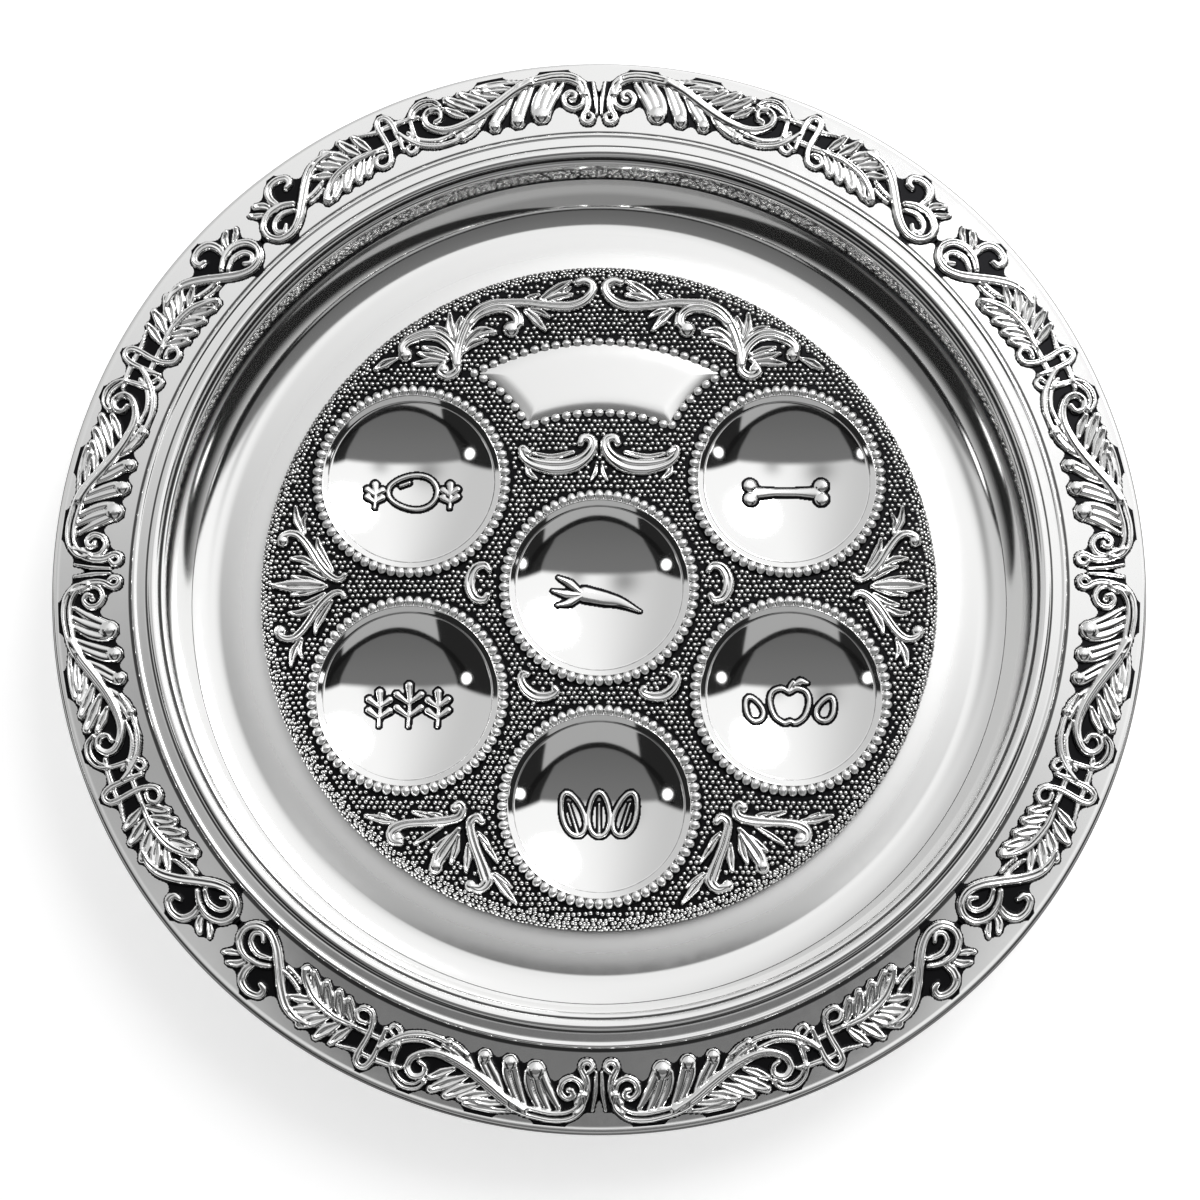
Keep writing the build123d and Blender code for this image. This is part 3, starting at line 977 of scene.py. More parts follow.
    def knot(self) -> list[Stroke]:
        """Ribbons that cross and loop between the S-stem and the acanthus."""
        return [
            stem([(47, 178.6), (55, 176.4), (63, 176.2), (69.6, 178.6), (74, 182.6), (76.6, 186.6)],
                 0.7, 1.0, 1.0),
            stem([(57, 179), (64, 178.8), (70, 181.4), (73.2, 185.6)], 0.6, 0.8, 0.8, height=1.8),
            stem([(77.4, 180), (77.2, 186), (77.4, 191.4), (78.6, 194.4), (80.4, 195), (82, 193.8),
                  (82.4, 190.6), (82, 185), (82.4, 180.6), (84.4, 177.2), (87.6, 176.8), (89.2, 179),
                  (87.4, 181.2), (84.8, 181)], 0.9, 1.1, 1.1, 1.0, 0.9, height=2.3),
            stem([(70.6, 190.6), (71.2, 186), (71.4, 181.4), (72.6, 178.2), (75.2, 177.6), (76, 179.6),
                  (74.4, 180.6)], 0.8, 1.0, 0.9, 0.7, height=1.9),
            stem([(67.6, 190), (72, 190.6), (78, 191), (84, 191), (90, 192.4)], 0.8, 1.0, 0.9, 0.5,
                 height=1.9),
            stem([(71, 183), (76, 183.6), (82, 183.8), (88, 184)], 0.8, 1.0, 0.9, height=2.0),
        ]

    def acanthus(self) -> list[Stroke]:
        """The half acanthus with its midrib."""
        lobes = [
            ([(88.6, 185), (90.6, 189.4), (92.2, 193)], 1.8, 1.0),
            ([(92.6, 185.4), (95.6, 190), (97.4, 193.8)], 2.2, 1.2),
            ([(97, 185.4), (101, 189.6), (104.2, 193.2)], 2.4, 1.3),
            ([(101, 185), (105.6, 188.4), (109.6, 191.2)], 2.2, 1.1),
            ([(105, 183.6), (109, 185.8), (112.4, 187.2)], 1.7, 0.9),
            ([(88.6, 183.4), (91.4, 180.2), (94, 177)], 2.0, 1.3),
            ([(92.6, 183.8), (95.8, 180.2), (98.4, 176.6)], 2.2, 1.4),
            ([(97.4, 183.6), (101, 179.8), (104, 176.3)], 2.3, 1.4),
            ([(102.6, 182.4), (106.6, 178.8), (110, 175.8)], 2.1, 1.2),
        ]
        rib = stem([(87, 183.8), (92, 184.4), (97, 184.4), (105, 182.8), (110.7, 179.4), (113.4, 176.8)],
                   0.8, 1.2, 1.2, height=2.6)
        return [rib, bud((112.6, 176.4), 1.8), *(lobe(points, 0.75, *widths) for points, *widths in lobes)]

    def terminal(self) -> list[Stroke]:
        """The crossing stem with its two curls and the buds at the mount's end."""
        return [
            stem([(102, 191.6), (106.6, 192), (111.4, 190.4), (116.4, 186.4), (121.4, 181.4), (126.6, 176.9),
                  (132, 174.6), (137, 175.6), (139.4, 179.4), (138, 183.8), (133.4, 186.2), (128, 185.6),
                  (124, 183.4)], 1.0, 1.5, 1.7, 1.7, 1.6, 1.4, 1.3, 1.2, 1.1, 0.9, height=2.5),
            stem([(125.6, 181.2), (130, 182.8), (134.4, 181.6), (135.8, 178.6), (133.6, 176.9),
                  (131.4, 178.4)], 0.8, 1.1, 1.0, 0.8, height=2.0),
            stem([(110.6, 183.6), (115, 182.2), (119, 181.6)], 0.8, height=1.8),
            stem([(111.6, 181), (115, 180), (118.6, 179.6)], 0.7, height=1.7),
            stem([(128.6, 186), (129.4, 190), (127.8, 193.6), (124, 194.7), (120.6, 193.4), (120.4, 190.8),
                  (122.4, 190)], 1.0, 1.4, 1.4, 1.3, 1.2, 1.0, height=2.2),
            lobe([(131.6, 187), (133, 190), (135.6, 192)], 0.8, 1.4, 1.0, height=1.9),
            lobe([(134.6, 187), (137.4, 188.8), (139, 190.6)], 0.7, 1.2, 0.8, height=1.8),
        ]

    def placed(self, side: int) -> Callable[[np.ndarray, np.ndarray], np.ndarray]:
        """How a half mount's grid lies on the rim, its middle on +Y.

        Args:
            side: -1 for the right half, 1 for the left half.

        Returns:
            A function from arc and radius to points.
        """

        def on_rim(arc: np.ndarray, radius: np.ndarray) -> np.ndarray:
            """Points of the rim's flat ground."""
            angle = math.pi / 2 + side * (math.pi / 4) * arc / self.drawn_length
            height = np.full(arc.shape, self.levels.rim)
            return np.stack([radius * np.cos(angle), radius * np.sin(angle), height], 1)

        return on_rim

    def build(self) -> None:
        """Make the four mounts from one relief, mirrored and turned."""
        relief = Relief(self.strokes(), self.step, self.outline, self.pocket, self.fullness)
        halves = [relief.solid(self.placed(side), self.sunk, self.ground, side > 0) for side in (-1, 1)]
        (points, faces), deep = joined(halves)
        for quarter, side in enumerate(self.sides):
            mesh = (turned(points, 90.0 * quarter), faces)
            piece = new_piece(f"border_scrolls_{side}", mesh, self.finishes.relief)
            set_oxide_and_shade(piece, deep)
            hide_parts(f"border_mount_{side}")


@dataclass(frozen=True)
class FoodSigns:
    """Plain raised pictures of the food that belongs in each cup, drawn about the cup's middle."""

    width: float = 0.95
    height: float = 1.1

    def line(self, points: Sequence[Point], *widths: float) -> Stroke:
        """A plain raised line."""
        return Stroke(points, widths or (self.width,), (self.height,))

    def oval(self, middle: Point, length: float, width: float, lean: float, point: float) -> Stroke:
        """A raised closed line round an egg or a nut.

        Args:
            middle: Its middle.
            length: Its longer axis.
            width: Its shorter axis.
            lean: How far its longer axis is turned from the right, in degrees.
            point: How pointed one end is.

        Returns:
            The stroke.
        """
        turn = np.linspace(0, 2 * math.pi, 17)
        along = length / 2 * np.cos(turn)
        across = width / 2 * np.sin(turn) * (1 - point * np.cos(turn))
        c, s = math.cos(math.radians(lean)), math.sin(math.radians(lean))
        places = zip(middle[0] + c * along - s * across, middle[1] + s * along + c * across)
        return self.line([(float(x), float(y)) for x, y in places])

    def sprig(self, x: float, y: float, tall: float) -> list[Stroke]:
        """A small leafy stalk that stands on a point."""
        leaves = [
            self.line([(x, y + up * tall), (x + side * 0.26 * tall, y + (up + 0.2) * tall)], 0.7, 1.5)
            for up in (0.22, 0.5)
            for side in (-1, 1)
        ]
        return [self.line([(x, y), (x + 0.3, y + 0.5 * tall), (x, y + 0.9 * tall)], 0.75, 0.8, 1.6), *leaves]

    def egg(self) -> list[Stroke]:
        """An egg with a gleam, between two sprigs."""
        gleam = self.line([(-4.8, -0.4), (-1.4, 0.9)], 0.8)
        sprigs = [stroke for x in (-14.4, 14.4) for stroke in self.sprig(x, -9.6, 10.5)]
        return [self.oval((0, -3), 19, 13.5, 180, 0.16), gleam, *sprigs]

    def bone(self) -> list[Stroke]:
        """A shank bone with two knuckles at each end."""
        shaft = self.line([(-11.5, -3.4), (-5, -3), (5, -3), (11.5, -3.4)], 2.5, 1.7, 1.7, 2.5)
        return [shaft, *(bud((side * 13.6, rise), 2.9, 1.4) for side in (-1, 1) for rise in (-0.7, -5.9))]

    def root(self) -> list[Stroke]:
        """A horseradish root with three leaf stalks."""
        return [
            self.line([(-5.5, -1.6), (1, -3), (8, -4.8), (15.6, -8.6)], 3.3, 2.9, 1.8, 0.5),
            self.line([(-6.5, -1.2), (-11.5, 2.6), (-15.6, 4.6)], 0.8, 1.7, 0.7),
            self.line([(-7, -1.8), (-12.6, -1.6), (-17.6, -0.6)], 0.8, 1.8, 0.7),
            self.line([(-6.5, -2.4), (-11.6, -5), (-16, -6.2)], 0.8, 1.7, 0.7),
        ]

    def greens(self) -> list[Stroke]:
        """Three sprigs in a row."""
        row = ((-11, 14.5), (0, 17.5), (11, 14.5))
        return [stroke for x, tall in row for stroke in self.sprig(x, -11, tall)]

    def fruit(self) -> list[Stroke]:
        """An apple between two nuts."""
        half = [(3, 3.6), (6.4, 2.2), (7.4, -2), (5.6, -7.2), (2.2, -9.6)]
        outline = [(0, 2.2), *half, (0, -9), *((-x, y) for x, y in reversed(half)), (0, 2.2)]
        return [
            self.line(outline),
            self.line([(0, 2.2), (0.5, 4.4), (1.6, 6)], 0.8),
            self.line([(1.6, 4.8), (4.4, 6.2), (7, 5.6)], 0.5, 1.5, 0.5),
            *(self.oval((side * 13.6, -4.4), 9.6, 6, 90 - side * 24, 0.3) for side in (-1, 1)),
        ]

    def hearts(self) -> list[Stroke]:
        """Three lettuce leaves, each with a midrib."""
        return [
            stroke
            for foot, lean in ((-11.5, 108.0), (0.0, 90.0), (11.5, 72.0))
            for stroke in (
                self.oval((0.86 * foot, -2.4), 16.5, 7.8, lean, 0.22),
                self.line([(0.7 * foot, -9.4), (foot, 1.4)], 0.6, 0.5),
            )
        ]

    def strokes(self) -> dict[str, list[Stroke]]:
        """Each cup's name and the strokes of its sign."""
        return {
            "upper_left": self.egg(),
            "upper_right": self.bone(),
            "center": self.root(),
            "lower_left": self.greens(),
            "lower_right": self.fruit(),
            "bottom": self.hearts(),
        }


@dataclass
class Cups:
    """Six spun bowls, each with a food's sign raised in it."""

    levels: Levels
    finishes: Finishes
    bowl_radius: float = 79.38
    bowl_floor: float = 1.6
    sheet: float = 0.6
    crease: float = 31.8
    crease_depth: float = 0.1
    crease_reach: float = 0.45
    crease_width: float = 0.22
    # Painted shade: how dark the line along the crease is, and its width.
    crease_shade: float = 0.5
    crease_shade_width: float = 0.25
    mouth: float = 34.0
    lip_width: float = 0.3
    seat_corner: Point = (32.3, 32.8)
    edge_ease: float = 0.2
    dark_from: float = 35.0
    dark_ease: float = 0.6
    segments: int = 160
    sign_step: float = 0.28
    sign_outline: float = 0.85
    sign_pocket: float = 0.9
    sign_sunk: float = 0.25
    sign_ground: float = 0.03

    def bowl(self, radius: np.ndarray) -> np.ndarray:
        """Height of the bowl's inside.

        Args:
            radius: Distance from the cup's middle.

        Returns:
            Its height over the table.
        """
        return self.bowl_floor + self.bowl_radius - np.sqrt(self.bowl_radius**2 - radius**2)

    def profile(self) -> list[Point]:
        """The cup's section, from the middle of its underside out to the flange and back over its bowl.

        Returns:
            Radius and height of each point.
        """
        top, seat, ease = self.levels.flange_top, self.levels.medallion_top, self.edge_ease
        flange, lip = self.levels.flange_radius, self.mouth + self.lip_width
        radii = np.array([0.0, 8.0, 16.0, 22.0, 27.0, 31.0])
        under = list(zip(radii.tolist(), (self.bowl(radii) - self.sheet).tolist()))
        crease = self.crease + np.linspace(self.crease_reach, -self.crease_reach, 9)
        radii = np.concatenate([np.linspace(self.mouth, 32.4, 5), crease, np.linspace(31.0, 0.0, 42)])
        dip = self.crease_depth * np.exp(-(((radii - self.crease) / self.crease_width) ** 2))
        face = list(zip(radii.tolist(), (self.bowl(radii) - dip).tolist()))
        edge = face[0][1]
        return [
            *under,
            (self.seat_corner[0], seat - ease),
            (self.seat_corner[1], seat),
            (flange, seat),
            (flange, top - ease),
            (flange - ease, top),
            (self.dark_from + self.dark_ease, top),
            (self.dark_from, top),
            (lip + ease / 2, top),
            (lip, top + ease / 2),
            (lip, edge - self.lip_width / 2),
            (self.mouth + self.lip_width / 2, edge + 0.02),
            *face,
        ]

    def build(self) -> None:
        """Make each cup and its sign."""
        signs = FoodSigns().strokes()
        for name, (x, y) in self.levels.cup_places().items():
            mesh = lathe(self.profile(), self.segments, (x, y))
            cup = new_piece(f"bowl_{name}", mesh, self.finishes.cup)
            places = point_places(cup)
            out = np.hypot(places[:, 0] - x, places[:, 1] - y)
            # Painted shade: a dark line along the crease inside the bowl. Past the lip, the flange under the
            # beads is darkened as oxide.
            crease_shade_line = self.crease_shade * np.exp(-(((out - self.crease) / self.crease_shade_width) ** 2))
            set_oxide_and_shade(cup, np.maximum(crease_shade_line, np.clip((out - self.dark_from) / self.dark_ease, 0, 1)))
            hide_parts(f"cup_{name}")

            def in_bowl(u: np.ndarray, v: np.ndarray) -> np.ndarray:
                """Points of the bowl's inside."""
                return np.stack([u + x, v + y, self.bowl(np.hypot(u, v))], 1)

            relief = Relief(signs[name], self.sign_step, self.sign_outline, self.sign_pocket)
            mesh, deep = relief.solid(in_bowl, self.sign_sunk, self.sign_ground, False)
            sign = new_piece(f"sign_{name}", mesh, self.finishes.relief)
            set_oxide_and_shade(sign, deep)


class Repeat:
    """Geometry Nodes trees that set small shapes along lines and on points."""

    DOME_SIDES = 7
    DOME_RINGS = 4

    def __init__(self) -> None:
        """Build both trees once."""
        self.row = self.row_tree()
        self.field = self.field_tree()

    @staticmethod
    def started(name: str, sizes: Sequence[tuple[str, str]]) -> tuple[bpy.types.NodeTree, Graph]:
        """Start a tree with its named inputs.

        Args:
            name: The tree's name.
            sizes: Each input's name and socket type, after the geometry.

        Returns:
            The tree and a graph that fills it.
        """
        tree = bpy.data.node_groups.new(name, "GeometryNodeTree")
        tree.interface.new_socket("Geometry", in_out="INPUT", socket_type="NodeSocketGeometry")
        for label, kind in sizes:
            tree.interface.new_socket(label, in_out="INPUT", socket_type=kind)
        tree.interface.new_socket("Geometry", in_out="OUTPUT", socket_type="NodeSocketGeometry")
        return tree, Graph(tree)

    def row_tree(self) -> bpy.types.NodeTree:
        """Beads side by side along a closed line.

        Returns:
            The tree.
        """
        tree, graph = self.started(
            "bead_row",
            [("Count", "NodeSocketInt"), ("Size", "NodeSocketVector"), ("Sides", "NodeSocketInt"),
             ("Rings", "NodeSocketInt"), ("Finish", "NodeSocketMaterial")],
        )
        given = graph.add("NodeGroupInput").outputs
        curve = graph.add("GeometryNodeMeshToCurve", {"Mesh": given["Geometry"]})
        points = graph.add(
            "GeometryNodeCurveToPoints", {"Curve": curve.outputs[0], "Count": given["Count"]}, mode="COUNT"
        )
        tangent = points.outputs["Tangent"]
        turn = graph.add("FunctionNodeAlignRotationToVector", {"Vector": tangent}, axis="X", pivot_axis="Z")
        ball = graph.add(
            "GeometryNodeMeshUVSphere", {"Segments": given["Sides"], "Rings": given["Rings"], "Radius": 0.5}
        )
        beads = graph.add(
            "GeometryNodeInstanceOnPoints",
            {
                "Points": points.outputs["Points"],
                "Instance": ball.outputs["Mesh"],
                "Rotation": turn.outputs["Rotation"],
                "Scale": given["Size"],
            },
        )
        self.ended(graph, beads.outputs["Instances"], given["Finish"])
        return tree

    def field_tree(self) -> bpy.types.NodeTree:
        """Domes on points, each turned the way its point faces and a little different in size.

        Returns:
            The tree.
        """
        tree, graph = self.started(
            "dome_field",
            [("Diameter", "NodeSocketFloat"), ("Height", "NodeSocketFloat"), ("Spread", "NodeSocketFloat"),
             ("Seed", "NodeSocketInt"), ("Finish", "NodeSocketMaterial")],
        )
        given = graph.add("NodeGroupInput").outputs
        facing = graph.add(
            "GeometryNodeInputNamedAttribute", {"Name": Attribute.FACING.value}, data_type="FLOAT_VECTOR"
        )
        turn = graph.add("FunctionNodeAlignRotationToVector", {"Vector": facing.outputs[0]}, axis="Z")
        low = graph.math("SUBTRACT", 1.0, given["Spread"])
        high = graph.math("ADD", 1.0, given["Spread"])
        share = graph.add("FunctionNodeRandomValue", data_type="FLOAT")
        for name, value in (("Min", low), ("Max", high), ("Seed", given["Seed"])):
            socket = next(s for s in share.inputs if s.name == name and s.enabled)
            graph.tree.links.new(value, socket)
        drawn = next(s for s in share.outputs if s.enabled)
        across = graph.math("MULTIPLY", given["Diameter"], drawn)
        size = graph.add("ShaderNodeCombineXYZ", {0: across, 1: across, 2: given["Height"]})
        ball = graph.add(
            "GeometryNodeMeshUVSphere", {"Segments": self.DOME_SIDES, "Rings": self.DOME_RINGS, "Radius": 0.5}
        )
        domes = graph.add(
            "GeometryNodeInstanceOnPoints",
            {
                "Points": given["Geometry"],
                "Instance": ball.outputs["Mesh"],
                "Rotation": turn.outputs["Rotation"],
                "Scale": size.outputs[0],
            },
        )
        self.ended(graph, domes.outputs["Instances"], given["Finish"])
        return tree

    @staticmethod
    def ended(graph: Graph, instances: Socket, finish: Socket) -> None:
        """End a tree with plain geometry and its material.

        Args:
            graph: The graph that fills the tree.
            instances: The instances to make plain.
            finish: The material input.
        """
        plain = graph.add("GeometryNodeRealizeInstances", {"Geometry": instances})
        smooth = graph.add("GeometryNodeSetShadeSmooth", {"Geometry": plain.outputs[0]})
        dressed = graph.add("GeometryNodeSetMaterial", {"Geometry": smooth.outputs[0], "Material": finish})
        graph.add("NodeGroupOutput", {"Geometry": dressed.outputs[0]})

    @staticmethod
    def grown(name: str, host: bpy.types.Mesh, tree: bpy.types.NodeTree, sizes: dict) -> bpy.types.Object:
        """Run a tree on a mesh and keep the result as a plain mesh.

        Args:
            name: The new piece's name.
            host: The line or points that the tree works on.
            tree: The tree.
            sizes: Each input's name and value.

        Returns:
            The new piece.
        """
        piece = bpy.data.objects.new(name, host)
        bpy.context.scene.collection.objects.link(piece)
        modifier = piece.modifiers.new("repeat", "NODES")
        modifier.node_group = tree
        for item in tree.interface.items_tree:
            if item.in_out == "INPUT" and item.name in sizes:
                modifier[item.identifier] = sizes[item.name]
        result = piece.evaluated_get(bpy.context.evaluated_depsgraph_get())
        plain = bpy.data.meshes.new_from_object(result)
        piece.modifiers.clear()
        piece.data = plain
        plain.name = name
        return piece

    def beads(
        self, name: str, line: np.ndarray, count: int, size: tuple[float, float, float],
        finish: bpy.types.Material, sides: int = 10, rings: int = 6,
    ) -> bpy.types.Object:
        """Set beads along a closed line.

        Args:
            name: The new piece's name.
            line: The line's points in millimetres.
            count: How many beads.
            size: A bead's size along the line, across it and upwards, in millimetres.
            finish: Its material.
            sides: Steps round a bead.
            rings: Steps up a bead.

        Returns:
            The new piece.
        """
        host = bpy.data.meshes.new(name)
        edges = [(i, (i + 1) % len(line)) for i in range(len(line))]
        host.from_pydata((line * MM).tolist(), edges, [])
        scale = [value * MM for value in size]
        sizes = {"Count": count, "Size": scale, "Sides": sides, "Rings": rings, "Finish": finish}
        return self.grown(name, host, self.row, sizes)

    def domes(
        self, name: str, points: np.ndarray, facing: np.ndarray, size: Point, spread: float, seed: int,
        finish: bpy.types.Material,
    ) -> bpy.types.Object:
        """Set domes on points.

        Args:
            name: The new piece's name.
            points: Their places in millimetres.
            facing: The way each of them faces.
            size: A dome's width, and the full height of the ball that it is part of, in millimetres.
            spread: How much their widths differ, as a share.
            seed: The seed of those differences.
            finish: Its material.

        Returns:
            The new piece.
        """
        host = bpy.data.meshes.new(name)
        host.from_pydata((points * MM).tolist(), [], [])
        layer = host.attributes.new(Attribute.FACING.value, "FLOAT_VECTOR", "POINT")
        layer.data.foreach_set("vector", np.ascontiguousarray(facing, dtype=np.float32).ravel())
        width, height = (value * MM for value in size)
        sizes = {"Diameter": width, "Height": height, "Spread": spread, "Seed": seed, "Finish": finish}
        return self.grown(name, host, self.field, sizes)


def point_places(piece: bpy.types.Object) -> np.ndarray:
    """The places of a piece's points in millimetres."""
    places = np.empty(len(piece.data.vertices) * 3)
    piece.data.vertices.foreach_get("co", places)
    return places.reshape(-1, 3) / MM


@dataclass
class BeadRings:
    """The beaded wire round each cup and round the plaque."""

    levels: Levels
    finishes: Finishes
    repeat: Repeat
    count: int = 64
    bead: tuple[float, float, float] = (3.6, 4.3, 2.7)
    bead_sides: int = 12
    bead_rings: int = 8
    circle_steps: int = 256
    seat: float = 0.25
    plaque_inner: float = 69.6
    plaque_outer: float = 96.6
    plaque_end: float = 50.0
    bright_from: float = 0.8
    rubbed: float = 0.6
    frame_offset: float = 0.9
    frame_pitch: float = 4.2
    frame_bead: tuple[float, float, float] = (3.9, 3.4, 2.6)
    frame_seat: float = 0.2
    frame_bright_from: float = 0.6
    frame_rubbed: float = 0.5

    def plaque_line(self, offset: float) -> np.ndarray:
        """The plaque's outline, moved outwards, always with the same number of points.

        Args:
            offset: How far outwards.

        Returns:
            Points in millimetres at the medallion's level.
        """
        places = self.levels.cup_places()
        inner, outer, end = self.plaque_inner - offset, self.plaque_outer + offset, self.plaque_end - offset
        cx, cy = places["upper_right"]
        distance = math.hypot(cx, cy)
        toward = math.degrees(math.atan2(cy, cx))

        def meeting(radius: float) -> tuple[float, float]:
            """Angles of the corner where the end meets an arc: about the plate and about the cup."""
            turn = math.degrees(math.acos((radius**2 + distance**2 - end**2) / (2 * radius * distance)))
            x, y = arc_points((0, 0), radius, toward + turn, 0, 2)[0]
            return toward + turn, math.degrees(math.atan2(y - cy, x - cx)) % 360

        low, low_end = meeting(inner)
        high, high_end = meeting(outer)
        runs = [
            arc_points((0, 0), outer, high, 180 - high, 90),
            arc_points((-cx, cy), end, 180 - high_end, 180 - low_end, 30),
            arc_points((0, 0), inner, 180 - low, low, 60),
            arc_points((cx, cy), end, low_end, high_end, 30),
        ]
        flat = [point for run in runs for point in run[:-1]]
        return np.array([(x, y, self.levels.medallion_top) for x, y in flat])

    def build(self) -> None:
        """Set the beads of every ring and of the frame."""
        finish = self.finishes.bead
        fine = (self.bead_sides, self.bead_rings)
        turn = np.linspace(0, 2 * math.pi, self.circle_steps, endpoint=False)
        level = np.full(turn.shape, self.levels.flange_top + self.seat)
        radius = self.levels.bead_circle_radius
        for name, (x, y) in self.levels.cup_places().items():
            line = np.stack([x + radius * np.cos(turn), y + radius * np.sin(turn), level], 1)
            ring = self.repeat.beads(f"beads_{name}", line, self.count, self.bead, finish, *fine)
            high = point_places(ring)[:, 2] - self.levels.flange_top
            set_oxide_and_shade(ring, np.clip((self.bright_from - high) / self.rubbed, 0, 1))
            settle(ring, [f"bead_ring_{name}"])
        line = self.plaque_line(self.frame_offset) + np.array([0, 0, self.frame_seat])
        length = np.linalg.norm(np.diff(line, axis=0, append=line[:1]), axis=1).sum()
        count = round(length / self.frame_pitch)
        edge = self.repeat.beads("beads_plaque", line, count, self.frame_bead, finish)
        high = point_places(edge)[:, 2] - self.levels.medallion_top
        set_oxide_and_shade(edge, np.clip((self.frame_bright_from - high) / self.frame_rubbed, 0, 1))
        settle(edge, ["plaque_frame"])


@dataclass
class Plaque:
    """The blank banner, whose edges roll down towards the beads."""

    levels: Levels
    finishes: Finishes
    rings: BeadRings
    thickness: float = 1.0
    roll: float = 6.0
    roll_steps: int = 13
    flat_insets: Point = (8.0, 11.0)
    fall: float = 0.75
    sunk: float = 0.1

    def build(self) -> None:
        """Make the banner from lines inside its outline."""
        insets = np.concatenate([np.linspace(0, self.roll, self.roll_steps), self.flat_insets])
        rise = self.thickness - self.fall * np.clip(1 - insets / self.roll, 0, None) ** 2
        lines = [self.rings.plaque_line(-inset) + np.array([0, 0, up]) for inset, up in zip(insets, rise)]
        back = np.array([0, 0, self.levels.medallion_top - self.sunk])
        lines.insert(0, lines[0] * np.array([1, 1, 0]) + back)
        count = len(lines[0])
        faces = [tuple(reversed(range(count))), tuple(range(len(lines) * count - count, len(lines) * count))]
        for row in range(len(lines) - 1):
            faces += [
                (row * count + i, row * count + j, (row + 1) * count + j, (row + 1) * count + i)
                for i, j in zip(range(count), [*range(1, count), 0])
            ]
        piece = new_piece("banner", (np.vstack(lines), faces), self.finishes.plaque)
        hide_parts("plaque")


